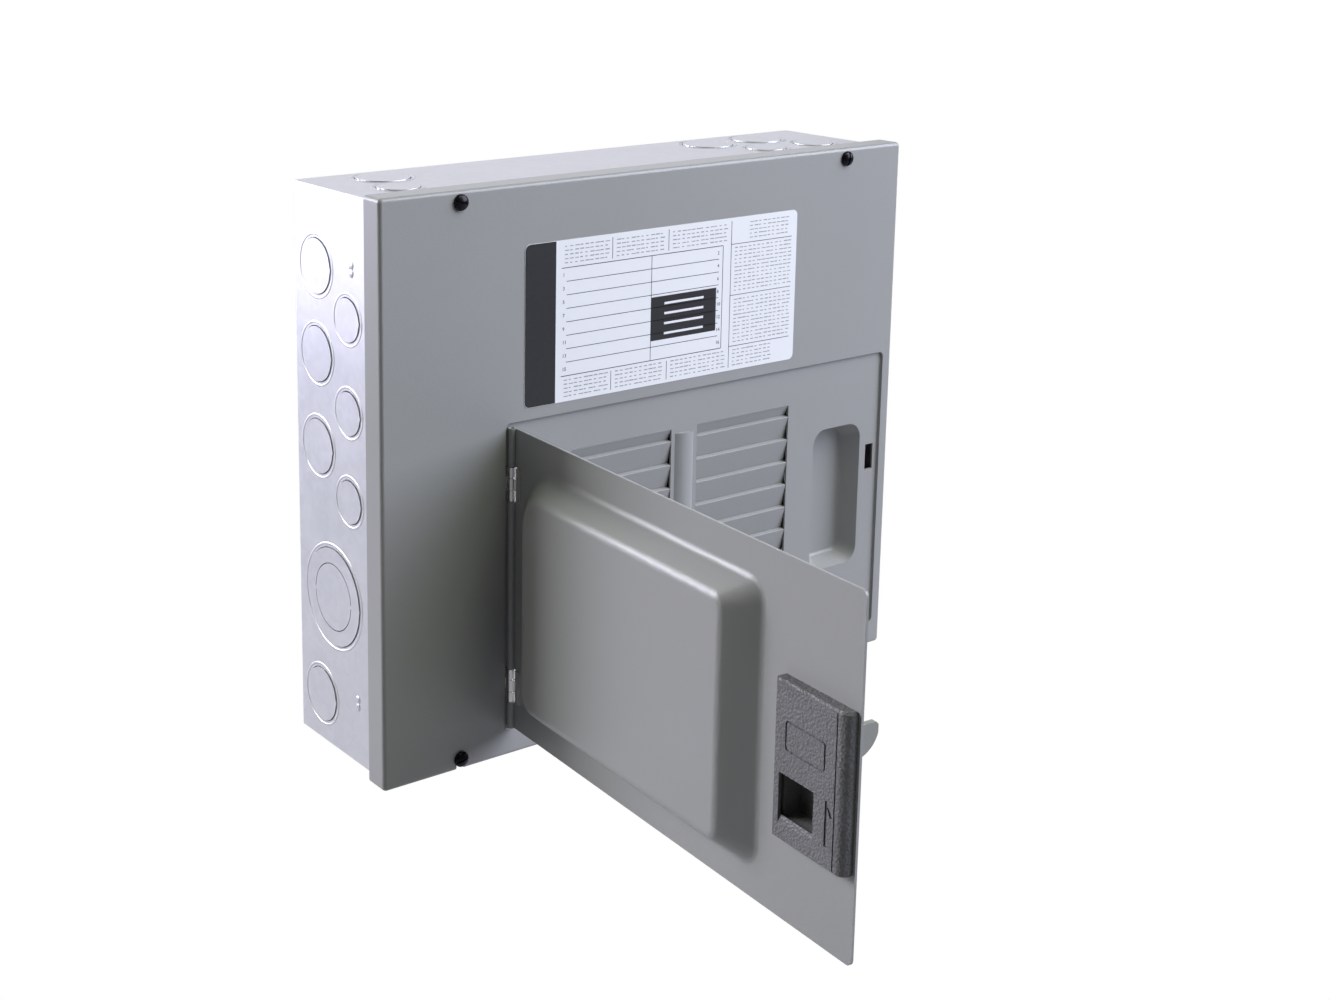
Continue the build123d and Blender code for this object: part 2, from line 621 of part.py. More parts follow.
def hinge_leaf(middle):
    """The leaf fixed to the cover: two knuckles and a foot that lies behind the well floor."""
    low = middle - HINGE_HEIGHT / 2
    stem_left = HINGE_X - CURL_R
    foot_back = HINGE_FRONT - 2.4 - SHEET
    with BuildPart() as leaf:
        for start in (low, low + HINGE_HEIGHT - END_KNUCKLE):
            with BuildSketch(Plane.XY.offset(start)):
                knuckle_sketch(PIN_R + 0.02)
                span(stem_left, -HINGE_FRONT, stem_left + LEAF_SHEET, -foot_back + LEAF_SHEET)
            extrude(amount=END_KNUCKLE)
        with BuildSketch(Plane.XY.offset(low)):
            span(stem_left, -HINGE_FRONT + 2.5, stem_left + LEAF_SHEET, -foot_back + LEAF_SHEET)
            span(stem_left, -foot_back, stem_left + 14.0, -foot_back + LEAF_SHEET)
        extrude(amount=HINGE_HEIGHT)
    return leaf.part


def hinge_pin(middle):
    with BuildPart() as pin:
        with BuildSketch(Plane.XY.offset(middle - HINGE_HEIGHT / 2)):
            with Locations((HINGE_X, -HINGE_FRONT)):
                Circle(PIN_R)
        extrude(amount=HINGE_HEIGHT)
    return pin.part


CLIP_SPAN = (3.2, 6.6)
CLIP_OUTER = 0.0


def hinge_clip(middle):
    """The door's clip: a middle knuckle and a plate on the door's outer face."""
    knuckle = HINGE_HEIGHT - 2 * (END_KNUCKLE + KNUCKLE_GAP)
    with BuildPart() as clip:
        with BuildSketch(Plane.XY.offset(middle - knuckle / 2)):
            knuckle_sketch(BORE_R)
        extrude(amount=knuckle)
        with BuildSketch(door_plane.offset(DOOR_OUTER)):
            span(1.5, middle - knuckle / 2, CLIP_SPAN[0], middle + knuckle / 2)
            span(CLIP_SPAN[0], middle - HINGE_HEIGHT / 2, CLIP_SPAN[1], middle + HINGE_HEIGHT / 2)
        extrude(amount=CLIP_OUTER - DOOR_OUTER)
    return clip.part


for word, middle in HINGE_ZS.items():
    save(hinge_leaf(middle), f"{word}_hinge_leaf")
    save(hinge_pin(middle), f"{word}_hinge_pin")
    save(hinge_clip(middle), f"{word}_hinge_clip")

# ---------------------------------------------------------------- door
FOOT_CORNERS = (14.0, 24.0, 9.0, 9.0)  # lower left, upper left, lower right, upper right
TOP_CORNERS = (9.0, 16.0, 6.0, 6.0)
FOOT_ROUNDING = 5.0


def bulge_solid(shrink, foot_level, top_level, rounding):
    """The pressed bulge's form, from the door's plane out to its flat top."""
    with BuildPart(mode=Mode.PRIVATE) as form:
        for level, sides, radii in (
            (foot_level, grow(BULGE_FOOT, -shrink), FOOT_CORNERS),
            (top_level, grow(BULGE_TOP, -shrink), TOP_CORNERS),
        ):
            left, bottom, right, top = sides
            places = ((left, bottom), (left, top), (right, bottom), (right, top))
            with BuildSketch(door_plane.offset(level)) as section:
                span(*sides)
                for place, radius in zip(places, radii):
                    corner = section.vertices().sort_by_distance(place)[0]
                    fillet(corner, radius=radius - shrink)
        loft()
        fillet(form.faces().sort_by(Axis(hinge_point, door_out))[-1].edges(), radius=rounding)
    return form.part


def foot_edges(part, level):
    """The bulge's edges where it leaves the door's sheet, on the face at this level."""
    flat = part.faces().filter_by(Axis((0, 0, 0), door_out))
    return [
        edge
        for edge in flat.edges()
        if abs((edge.center() - hinge_point).dot(door_out) - level) < 0.01
        and 8.0 < (edge.center() - hinge_point).dot(door_along) < 196.0
        and DOOR_BOTTOM + 8.0 < edge.center().Z < DOOR_TOP - 8.0
    ]


bulge_outside = bulge_solid(0, DOOR_OUTER, DOOR_OUTER + BULGE_HEIGHT, 6.0)
bulge_inside = bulge_solid(0.9, DOOR_INNER, DOOR_OUTER + BULGE_HEIGHT - SHEET, 5.0)

with BuildPart() as door_panel:
    with BuildSketch(door_plane.offset(DOOR_INNER)):
        span(0, DOOR_BOTTOM, DOOR_WIDTH, DOOR_TOP)
    extrude(amount=SHEET)
    free_corners = door_panel.edges().filter_by(Axis((0, 0, 0), door_out)).sort_by(Axis(hinge_point, door_along))
    fillet(free_corners[-2:], radius=3.0)
    with BuildSketch(Plane.XY.offset(DOOR_BOTTOM)):
        knuckle_sketch(BORE_R)
    extrude(amount=DOOR_TOP - DOOR_BOTTOM)
    # the rolled edge opens for each hinge
    with BuildSketch(door_plane.offset(-5.0)):
        for middle in HINGE_ZS.values():
            half = HINGE_HEIGHT / 2 + KNUCKLE_GAP
            span(-5.0, middle - half, 3.2, middle + half)
    extrude(amount=10.0, mode=Mode.SUBTRACT)
    add(bulge_outside)
    add(bulge_inside, mode=Mode.SUBTRACT)
    fillet(foot_edges(door_panel, DOOR_OUTER), radius=FOOT_ROUNDING)
    fillet(foot_edges(door_panel, DOOR_INNER), radius=FOOT_ROUNDING)
    # openings for the latch cup, the hook and the bezel's stakes
    with BuildSketch(door_plane.offset(DOOR_INNER)):
        span(CUP[0] - 0.4, CUP[1] - 0.4, CUP[2] + 0.4, CUP[3] + LATCH_TRAVEL + 0.4)
        span(HOOK_LEFT - 0.4, -38.4, HOOK_LEFT + HOOK_SHEET + 0.4, -24.6)
        with Locations(STAKE_PLACES):
            Circle(STAKE_R + 0.1)
    extrude(amount=SHEET, mode=Mode.SUBTRACT)
save(door_panel.part, "door_panel")

# ---------------------------------------------------------------- latch
BEZEL_FACE = DOOR_OUTER + BEZEL_HEIGHT
CAVITY = grow(BEZEL, -BEZEL_WALL)
RETAINER = (206.8, -90.0, 236.4, -24.6)
RETAINER_SHEET = 1.4
SLIDER_BACK = -0.5
SLIDER_FRONT = 1.7

with BuildPart() as latch_bezel:
    with BuildSketch(door_plane.offset(DOOR_OUTER)):
        span(*BEZEL)
    extrude(amount=BEZEL_HEIGHT)
    far_to_near = latch_bezel.edges().filter_by(Axis.Z).sort_by(Axis(hinge_point, door_along))
    grip = far_to_near[-2:].sort_by(Axis(hinge_point, door_out))[-1]
    fillet(grip, radius=4.4)
    chamfer(latch_bezel.faces().sort_by(Axis(hinge_point, door_out))[-1].edges(), length=0.8)
    with BuildSketch(door_plane.offset(DOOR_OUTER)):
        span(CAVITY[0], CAVITY[1], CAVITY[2], CAVITY[3])
    extrude(amount=BEZEL_HEIGHT - BEZEL_WALL, mode=Mode.SUBTRACT)
    with BuildSketch(door_plane.offset(DOOR_OUTER)):
        span(*FINGER_WINDOW)
    extrude(amount=BEZEL_HEIGHT, mode=Mode.SUBTRACT)
    # the groove beside the rounded grip, a blank name panel and an upward arrow
    with BuildSketch(door_plane.offset(BEZEL_FACE - 0.55)):
        span(243.2, BEZEL[1] + 1.2, 243.9, BEZEL[3] - 1.2)
        span(213.5, -52.0, 237.5, -39.0, corner=2.0)
        span(214.4, -51.1, 236.6, -39.9, corner=1.3, mode=Mode.SUBTRACT)
        span(238.2, -82.0, 239.4, -63.0)
        with Locations((240.3, -65.9)):
            Rectangle(1.2, 7.0, rotation=28)
    extrude(amount=1.0, mode=Mode.SUBTRACT)
    # the slope for the fingertip below the window
    sill_plane = Plane(
        origin=hinge_point + door_along * FINGER_WINDOW[0], x_dir=door_out, z_dir=door_along
    )
    with BuildSketch(sill_plane):
        Polygon(
            (BEZEL_FACE + 0.1, -FINGER_WINDOW[1] - 0.1),
            (BEZEL_FACE + 0.1, -FINGER_WINDOW[1] + 3.6),
            (BEZEL_FACE - 1.2, -FINGER_WINDOW[1] - 0.1),
            align=None,
        )
    extrude(amount=FINGER_WINDOW[2] - FINGER_WINDOW[0], mode=Mode.SUBTRACT)
    # heat stakes that hold the bezel to the door
    with BuildSketch(door_plane.offset(DOOR_INNER - RETAINER_SHEET)):
        with Locations(STAKE_PLACES):
            Circle(STAKE_R)
    extrude(amount=BEZEL_FACE - BEZEL_WALL - DOOR_INNER + RETAINER_SHEET)
    with BuildSketch(door_plane.offset(DOOR_INNER - RETAINER_SHEET)):
        with Locations(STAKE_PLACES):
            Circle(STAKE_R + 0.6)
    extrude(amount=-0.6)
save(latch_bezel.part, "latch_bezel")

with BuildPart() as latch_retainer:
    with BuildSketch(door_plane.offset(DOOR_INNER)):
        span(*RETAINER, corner=5.0)
        span(CUP[0] - 0.4, CUP[1] - 0.4, CUP[2] + 0.4, CUP[3] + LATCH_TRAVEL + 0.4, mode=Mode.SUBTRACT)
        with Locations(STAKE_PLACES):
            Circle(STAKE_R + 0.02, mode=Mode.SUBTRACT)
    extrude(amount=-RETAINER_SHEET)
save(latch_retainer.part, "latch_retainer")

SLIDER = (208.6, -85.5, 244.4, -33.8)
with BuildPart() as latch_slider:
    with BuildSketch(door_plane.offset(SLIDER_BACK)):
        span(*SLIDER)
        span(SPRING_X - 4.0, SPRING_FOOT, SPRING_X + 4.0, SLIDER[3], mode=Mode.SUBTRACT)
    extrude(amount=SLIDER_FRONT - SLIDER_BACK)
    with BuildSketch(door_plane.offset(CUP_FLOOR)):
        span(*CUP)
    extrude(amount=SLIDER_FRONT - CUP_FLOOR)
    with BuildSketch(door_plane.offset(CUP_FLOOR + SHEET)):
        span(*grow(CUP, -1.0))
    extrude(amount=SLIDER_FRONT - CUP_FLOOR, mode=Mode.SUBTRACT)
save(latch_slider.part, "latch_slider")

# The hook: a plate on the slider and a blade through the door, with a curved lead-in below.
HOOK_TOP = -30.3
HOOK_LOW = -43.7
NECK_LOW = -37.7
HOOK_TIP = 12.7
LOBE_BACK = 4.0
HOOK_PLATE_FRONT = SLIDER_FRONT + 1.1
hook_plane = Plane(
    origin=hinge_point + door_along * HOOK_LEFT,
    x_dir=door_out * -1,
    z_dir=door_along,
)
with BuildPart() as latch_hook:
    with BuildSketch(hook_plane):
        with BuildLine():
            Polyline(
                (LOBE_BACK, HOOK_LOW),
                (LOBE_BACK, NECK_LOW),
                (-HOOK_PLATE_FRONT, NECK_LOW),
                (-HOOK_PLATE_FRONT, HOOK_TOP),
                (HOOK_TIP - 1.2, HOOK_TOP),
                (HOOK_TIP, HOOK_TOP - 1.2),
                (HOOK_TIP, HOOK_TOP - 4.6),
            )
            ThreePointArc(
                (HOOK_TIP, HOOK_TOP - 4.6),
                (HOOK_TIP - 2.6, HOOK_TOP - 9.4),
                (LOBE_BACK, HOOK_LOW),
            )
        make_face()
    extrude(amount=HOOK_SHEET)
    with BuildSketch(door_plane.offset(SLIDER_FRONT)):
        span(236.0, -58.0, HOOK_LEFT + HOOK_SHEET, HOOK_TOP)
    extrude(amount=HOOK_PLATE_FRONT - SLIDER_FRONT)
save(latch_hook.part, "latch_hook")

spring_pitch = 2.1
spring_length = SPRING_TOP - SPRING_FOOT - 2 * SPRING_WIRE - 0.1
spring_base = hinge_point + door_along * SPRING_X + door_out * 1.2
with BuildPart() as latch_spring:
    with BuildLine(Plane(origin=spring_base + Vector(0, 0, SPRING_FOOT + SPRING_WIRE + 0.05))) as coil:
        Helix(pitch=spring_pitch, height=spring_length, radius=SPRING_R)
    with BuildSketch(Plane(origin=coil.line @ 0, z_dir=coil.line % 0)):
        Circle(SPRING_WIRE)
    sweep(path=coil.line, is_frenet=True)
save(latch_spring.part, "latch_spring")
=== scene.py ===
import math

import bmesh
import bpy
from mathutils import Matrix, Vector


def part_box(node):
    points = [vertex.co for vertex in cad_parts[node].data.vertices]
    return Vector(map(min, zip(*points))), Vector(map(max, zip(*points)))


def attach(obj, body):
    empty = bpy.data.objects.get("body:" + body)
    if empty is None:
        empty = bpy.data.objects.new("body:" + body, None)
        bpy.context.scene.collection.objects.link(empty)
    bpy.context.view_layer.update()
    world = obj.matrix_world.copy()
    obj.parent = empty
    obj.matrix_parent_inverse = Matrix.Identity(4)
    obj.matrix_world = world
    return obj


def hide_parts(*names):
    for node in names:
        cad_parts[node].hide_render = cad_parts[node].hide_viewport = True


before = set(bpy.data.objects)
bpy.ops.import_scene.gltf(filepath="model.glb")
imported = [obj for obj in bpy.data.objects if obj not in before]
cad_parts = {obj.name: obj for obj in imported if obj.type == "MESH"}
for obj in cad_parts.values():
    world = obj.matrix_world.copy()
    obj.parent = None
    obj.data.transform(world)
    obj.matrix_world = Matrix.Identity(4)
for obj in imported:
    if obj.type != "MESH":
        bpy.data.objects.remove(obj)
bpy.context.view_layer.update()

bl_info = {
    "name": "Load Center Finishes",
    "version": (1, 0, 0),
    "blender": (4, 5, 0),
    "location": "View3D > Sidebar > Load Center",
    "description": "Finishes and fine pieces of a residential load center, on its packed frame",
    "category": "Object",
}

MM = 0.001
MERGE_REACH = 1e-6

# Stands a flat drawing up on the cover's face: X to the right, Y up, Z out towards the front.
FACE_MATRIX = Matrix(((1, 0, 0, 0), (0, 0, -1, 0), (0, 1, 0, 0), (0, 0, 0, 1)))

# Knockouts: how far a slug stands out of its wall, and the stamped rim round it.
SLUG_PROUD = 0.5 * MM
RIM_OFFSET = 1.7 * MM
RIM_HALF_WIDTH = 0.75 * MM
RIM_HEIGHT = 0.22 * MM
# A rim's section from its inner foot to its outer one: shares of the half width and the height.
RIM_SECTION = ((-1.0, -0.6), (-0.75, 0.45), (-0.3, 0.92), (0.3, 0.92), (0.75, 0.45), (1.0, -0.6))

# Pairs of small bumps in each side wall, in millimetres before the back and above mid height.
BUMP_PAIRS = ((54.3, 106.3), (56.0, -110.6))
BUMP_SPREAD = 1.9
BUMP_RADIUS = 2.1 * MM
BUMP_HEIGHT = 0.55 * MM

# Cover screws: from the node's box to a screw's middle, then the head and the shank.
COVER_SCREW_SEAT = 4.35 * MM
COVER_SCREW_RADIUS = 3.95 * MM
COVER_SCREW_HEIGHT = 2.6 * MM

# Terminal screws of the neutral bars.
TERMINAL_SCREW_RADIUS = 2.9 * MM
TERMINAL_SCREW_HEIGHT = 2.4 * MM
TERMINAL_SCREWS = 13

# Twist-outs: the gap below each strip and beside it, its rounded edge, and its two tabs.
STRIP_GAP = 0.3 * MM
STRIP_SIDE_GAP = 0.35 * MM
STRIP_CROWN = 0.3 * MM
TAB_TOP, TAB_BOTTOM = 0.5 * MM, 2.6 * MM
TAB_SINK = 0.1 * MM
TAB_WIDTH = 0.6 * MM

# The directory label, in millimetres from its lower left corner. A patch is (left, bottom,
# right, top), and an area of small print is (left, right, bottom, top).
INK = 0.05
WHITE_INK = 0.09
LABEL_EDGE = 0.15
BAND_RIGHT = 18.5
BAND_CORNER = 3.0
BLACK_BLOCK = (78.5, 23.0, 121.5, 45.6)
BLOCK_BARS = 4
BLOCK_BAR = (87, 25.5, 113, 26.7)
BLOCK_BAR_PITCH = 5.2
TABLE_BOTTOM, TABLE_TOP = 13, 67
RULING_LEFT, RULING_RIGHT, RULING_WIDTH = 25, 123, 0.3
ODD_NUMBERS_LEFT, EVEN_NUMBERS_LEFT = 22.6, 121.9
NUMBER_SIZE = 2.6
FRAME_LINES = (
    (22, 12.8, 125.5, 13.15), (22, 67.0, 125.5, 67.35), (78.2, 13, 78.5, 67),
    (125.5, 13, 125.8, 67), (53.0, 1.6, 53.3, 11.4), (89.0, 1.6, 89.3, 11.4),
    (53.0, 68.6, 53.3, 79.4), (89.0, 68.6, 89.3, 79.4), (131.0, 1.6, 131.3, 79.4),
    (131, 12.8, 173.5, 13.1), (131, 40.0, 173.5, 40.3), (131, 67.0, 173.5, 67.3),
)
SMALL_PRINT_AREAS = (
    (23, 51, 2.4, 11), (55, 87, 2.4, 11), (91, 129, 2.4, 11), (23, 51, 69.4, 79),
    (55, 87, 69.4, 79), (91, 129, 69.4, 79), (133, 173, 42.4, 65.5), (133, 173, 15, 38.6),
    (133, 163, 2.4, 11), (143, 173, 69.4, 79),
)
WORD_BAR_LENGTH, WORD_BAR_WIDTH = 1.9, 0.5
WORD_PITCH, WORD_LINE_PITCH = 3.1, 2.05
WORD_INDENT, WORD_MARGIN = 0.8, 1.6

# The stage.
FLOOR_HALF_SIZE = 6.0
FLOOR_LEVEL = -0.62
LIGHT_TARGET = Vector((0, -0.1, 0))
LEFT_LIGHT_SHARE = 0.12
LOW_REAR_LIGHT_SHARE = 0.32
CAMERA_PLACE = Vector((-0.6144, -0.8154, 0.2887))
CAMERA_YAW = math.radians(34.13)
CAMERA_PITCH = math.radians(-11.40)
CAMERA_LENS = 52.1
CAMERA_SHIFT = (0.15, -0.18)


# ---------------------------------------------------------------- settings


class SheetSettings(bpy.types.PropertyGroup):
    coat_colour: bpy.props.FloatVectorProperty(
        name="Coat colour", description="Colour of the powder coat", subtype="COLOR",
        size=4, min=0, max=1, default=(0.315, 0.318, 0.31, 1),
    )
    coat_roughness: bpy.props.FloatProperty(
        name="Coat roughness", description="Roughness of the powder coat", subtype="FACTOR",
        min=0, max=1, default=0.38,
    )
    zinc_colour: bpy.props.FloatVectorProperty(
        name="Zinc colour", description="Colour of the galvanised sheet", subtype="COLOR",
        size=4, min=0, max=1, default=(0.70, 0.71, 0.72, 1),
    )
    spangle_size: bpy.props.FloatProperty(
        name="Spangle size", description="Width of one zinc crystal", subtype="DISTANCE",
        unit="LENGTH", min=0.001, default=0.0035,
    )


class LatchSettings(bpy.types.PropertyGroup):
    bezel_colour: bpy.props.FloatVectorProperty(
        name="Bezel colour", description="Colour of the latch's plastic", subtype="COLOR",
        size=4, min=0, max=1, default=(0.165, 0.166, 0.166, 1),
    )
    grain_pitch: bpy.props.FloatProperty(
        name="Grain pitch", description="Spacing of the moulded grain", subtype="DISTANCE",
        unit="LENGTH", min=0.0002, default=0.0012,
    )


class StripSettings(bpy.types.PropertyGroup):
    count: bpy.props.IntProperty(
        name="Strips", description="Twist-outs in one window", min=1, default=8,
    )
    pitch: bpy.props.FloatProperty(
        name="Pitch", description="Height of one twist-out", subtype="DISTANCE",
        unit="LENGTH", default=0.0127,
    )
    sink: bpy.props.FloatProperty(
        name="Sink", description="Depth of a strip's lower edge behind its upper edge",
        subtype="DISTANCE", unit="LENGTH", default=0.0026,
    )
    sheet: bpy.props.FloatProperty(
        name="Sheet", description="Thickness of a strip", subtype="DISTANCE",
        unit="LENGTH", default=0.001,
    )


class LabelSettings(bpy.types.PropertyGroup):
    paper_colour: bpy.props.FloatVectorProperty(
        name="Paper colour", description="Colour of the directory's paper", subtype="COLOR",
        size=4, min=0, max=1, default=(0.83, 0.84, 0.86, 1),
    )
    ink_colour: bpy.props.FloatVectorProperty(
        name="Ink colour", description="Colour of the printing", subtype="COLOR",
        size=4, min=0, max=1, default=(0.03, 0.03, 0.031, 1),
    )
    rows: bpy.props.IntProperty(
        name="Rows", description="Ruled rows in each column of the directory", min=1, default=7,
    )


class StageSettings(bpy.types.PropertyGroup):
    key_power: bpy.props.FloatProperty(
        name="Key light", description="Power of the light at the right",
        unit="POWER", min=0, default=69,
    )
    rear_power: bpy.props.FloatProperty(
        name="Rear light", description="Power of the lights at the left rear",
        unit="POWER", min=0, default=41,
    )
    high_power: bpy.props.FloatProperty(
        name="High light", description="Power of the light high in front",
        unit="POWER", min=0, default=14,
    )
    backdrop_power: bpy.props.FloatProperty(
        name="Backdrop light", description="Power of the broad light behind",
        unit="POWER", min=0, default=32,
    )
    fill: bpy.props.FloatProperty(
        name="Fill", description="Brightness of the room around the object", min=0, default=0.045,
    )


# ---------------------------------------------------------------- meshes


def finished(name, mesh, material, body, slot, *replaced):
    """Links a piece whose place is in its mesh, and gives it its finish and body. The slot is not
    used.
    """
    if material is not None:
        mesh.materials.clear()
        mesh.materials.append(material)
    piece = bpy.data.objects.new(name, mesh)
    bpy.context.scene.collection.objects.link(piece)
    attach(piece, body)
    if replaced:
        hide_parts(*replaced)
    return piece


def mesh_of(shape, name):
    """The plain mesh of an open bmesh, which is freed."""
    mesh = bpy.data.meshes.new(name)
    shape.to_mesh(mesh)
    shape.free()
    return mesh


def soften(mesh, degrees):
    """Smooth shading across bends: each corner's normal is the mean, by area, of the faces
    round it that lean less than this angle from its own, so broad flat faces stay flat."""
    mesh.shade_smooth()
    limit = math.cos(math.radians(degrees))
    faces = [(face.normal.copy(), face.area) for face in mesh.polygons]
    around = [[] for _ in mesh.vertices]
    for face in mesh.polygons:
        for vertex in face.vertices:
            around[vertex].append(faces[face.index])
    normals = []
    for face in mesh.polygons:
        for vertex in face.vertices:
            total = Vector()
            for normal, area in around[vertex]:
                if normal.dot(face.normal) > limit:
                    total += normal * area
            normals.append(total.normalized() if total.length > 0 else face.normal)
    mesh.normals_split_custom_set(normals)


def smooth_copy(node, name, material, body, slot, degrees=28):
    """A merged and smoothly shaded copy of a CAD node, shown in its place."""
    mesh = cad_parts[node].data.copy()
    shape = bmesh.new()
    shape.from_mesh(mesh)
    bmesh.ops.remove_doubles(shape, verts=shape.verts, dist=MERGE_REACH)
    shape.to_mesh(mesh)
    shape.free()
    soften(mesh, degrees)
    return finished(name, mesh, material, body, slot, node)


def block(shape, low, high):
    """A closed block in an open bmesh, given by two of its corners. Returns its vertices."""
    made = bmesh.ops.create_cube(shape, size=1.0)["verts"]
    size = Vector(high) - Vector(low)
    centre = (Vector(high) + Vector(low)) / 2
    bmesh.ops.scale(shape, verts=made, vec=size)
    bmesh.ops.translate(shape, verts=made, vec=centre)
    return made


def prism(shape, near_outline, far_outline):
    """A closed solid in an open bmesh, between an outline and its copy further along."""
    near = [shape.verts.new(point) for point in near_outline]
    far = [shape.verts.new(point) for point in far_outline]
    shape.faces.new(near)
    shape.faces.new(list(reversed(far)))
    for index in range(len(near)):
        after = (index + 1) % len(near)
        shape.faces.new((near[index], far[index], far[after], near[after]))
    bmesh.ops.recalc_face_normals(shape, faces=shape.faces)


def knockout_rims(node, outward):
    """The centre, on the wall, and the outer radius of each knockout of a CAD node."""
    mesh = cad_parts[node].data
    shape = bmesh.new()
    shape.from_mesh(mesh)
    bmesh.ops.remove_doubles(shape, verts=shape.verts, dist=MERGE_REACH)
    level = max(vertex.co.dot(outward) for vertex in shape.verts)
    front = {vertex for vertex in shape.verts if vertex.co.dot(outward) > level - 10 * MERGE_REACH}
    rims = []
    while front:
        island, edge = set(), [front.pop()]
        while edge:
            vertex = edge.pop()
            island.add(vertex)
            for link in vertex.link_edges:
                other = link.other_vert(vertex)
                if other in front:
                    front.remove(other)
                    edge.append(other)
        low = Vector([min(vertex.co[axis] for vertex in island) for axis in range(3)])
        high = Vector([max(vertex.co[axis] for vertex in island) for axis in range(3)])
        rims.append(((low + high) / 2, max(high - low) / 2))
    shape.free()
    outer = []
    for centre, radius in sorted(rims, key=lambda rim: -rim[1]):
        if all((centre - other).length > reach for other, reach in outer):
            outer.append((centre - outward * SLUG_PROUD, radius))
    return outer


def raised_ring(shape, centre, outward, radius, sides=72):
    """A low rounded ring pressed up from a wall, its underside sunk in the sheet."""
    across = outward.orthogonal().normalized()
    up = outward.cross(across)
    loops = []
    for step in range(sides):
        turn = 2 * math.pi * step / sides
        spoke = across * math.cos(turn) + up * math.sin(turn)
        loops.append(
            [
                shape.verts.new(
                    centre + spoke * (radius + side * RIM_HALF_WIDTH) + outward * rise * RIM_HEIGHT
                )
                for side, rise in RIM_SECTION
            ]
        )
    for step in range(sides):
        near, far = loops[step], loops[(step + 1) % sides]
        for index in range(len(RIM_SECTION)):
            after = (index + 1) % len(RIM_SECTION)
            shape.faces.new((near[index], far[index], far[after], near[after]))
    bmesh.ops.recalc_face_normals(shape, faces=shape.faces)


def dimple(shape, centre, outward, radius, height):
    """A low round bump on a wall, its lower half sunk in the sheet."""
    made = bmesh.ops.create_uvsphere(shape, u_segments=28, v_segments=14, radius=radius)["verts"]
    for vertex in made:
        vertex.co -= outward * vertex.co.dot(outward) * (1 - height / radius)
    bmesh.ops.translate(shape, verts=made, vec=centre)


def loose_object(name, data):
    """An object used only while a piece is being made."""
    loose = bpy.data.objects.new(name, data)
    bpy.context.scene.collection.objects.link(loose)
    return loose


def discard(loose):
    """Removes a loose object and its mesh."""
    mesh = loose.data
    bpy.data.objects.remove(loose)
    bpy.data.meshes.remove(mesh)


def evaluated_mesh(source):
    """A plain mesh of an object as its modifiers leave it."""
    bpy.context.view_layer.update()
    depsgraph = bpy.context.evaluated_depsgraph_get()
    return bpy.data.meshes.new_from_object(source.evaluated_get(depsgraph))


def copies_by_nodes(name, tree, pattern_mesh, values, points=((0, 0, 0),)):
    """The mesh that a node tree makes of copies of a pattern, on these points."""
    pattern = loose_object(pattern_mesh.name, pattern_mesh)
    points_mesh = bpy.data.meshes.new(name + "_points")
    points_mesh.from_pydata([tuple(point) for point in points], [], [])
    carrier = loose_object(name + "_points", points_mesh)
    modifier = carrier.modifiers.new("Build", "NODES")
    modifier.node_group = tree
    inputs = {"Pattern": pattern, **values}
    for item in tree.interface.items_tree:
        if item.item_type == "SOCKET" and item.in_out == "INPUT" and item.name in inputs:
            modifier[item.identifier] = inputs[item.name]
    mesh = evaluated_mesh(carrier)
    carrier.modifiers.remove(modifier)
    discard(carrier)
    discard(pattern)
    if not mesh.polygons:
        raise RuntimeError(name + " came out empty")
    mesh.name = name
    return mesh


# ---------------------------------------------------------------- node trees for repeats


def ladder_tree():
    """Copies of one strip down a column."""
    tree = bpy.data.node_groups.new("Ladder of strips", "GeometryNodeTree")
    face = tree.interface
    face.new_socket("Geometry", in_out="INPUT", socket_type="NodeSocketGeometry")
    face.new_socket("Pattern", in_out="INPUT", socket_type="NodeSocketObject")
    face.new_socket("Count", in_out="INPUT", socket_type="NodeSocketInt")
    face.new_socket("Pitch", in_out="INPUT", socket_type="NodeSocketVector")
    face.new_socket("Finish", in_out="INPUT", socket_type="NodeSocketMaterial")
    face.new_socket("Geometry", in_out="OUTPUT", socket_type="NodeSocketGeometry")
    nodes, links = tree.nodes, tree.links
    taken = nodes.new("NodeGroupInput")
    taken.label = "Strip, count and pitch"
    taken.location = (-600, 0)
    column = nodes.new("GeometryNodeMeshLine")
    column.label = "One point for each strip"
    column.location = (-380, 160)
    strip = nodes.new("GeometryNodeObjectInfo")
    strip.label = "The strip"
    strip.location = (-380, -120)
    copies = nodes.new("GeometryNodeInstanceOnPoints")
    copies.label = "Strips down the column"
    copies.location = (-160, 60)
    solid = nodes.new("GeometryNodeRealizeInstances")
    solid.label = "Real strips"
    solid.location = (40, 60)
    finish = nodes.new("GeometryNodeSetMaterial")
    finish.label = "Finish"
    finish.location = (220, 60)
    given = nodes.new("NodeGroupOutput")
    given.label = "Column"
    given.location = (400, 60)
    column.mode = "OFFSET"
    links.new(taken.outputs["Count"], column.inputs["Count"])
    links.new(taken.outputs["Pitch"], column.inputs["Offset"])
    links.new(taken.outputs["Pattern"], strip.inputs["Object"])
    links.new(column.outputs["Mesh"], copies.inputs["Points"])
    links.new(strip.outputs["Geometry"], copies.inputs["Instance"])
    links.new(copies.outputs["Instances"], solid.inputs["Geometry"])
    links.new(solid.outputs["Geometry"], finish.inputs["Geometry"])
    links.new(taken.outputs["Finish"], finish.inputs["Material"])
    links.new(finish.outputs["Geometry"], given.inputs["Geometry"])
    return tree


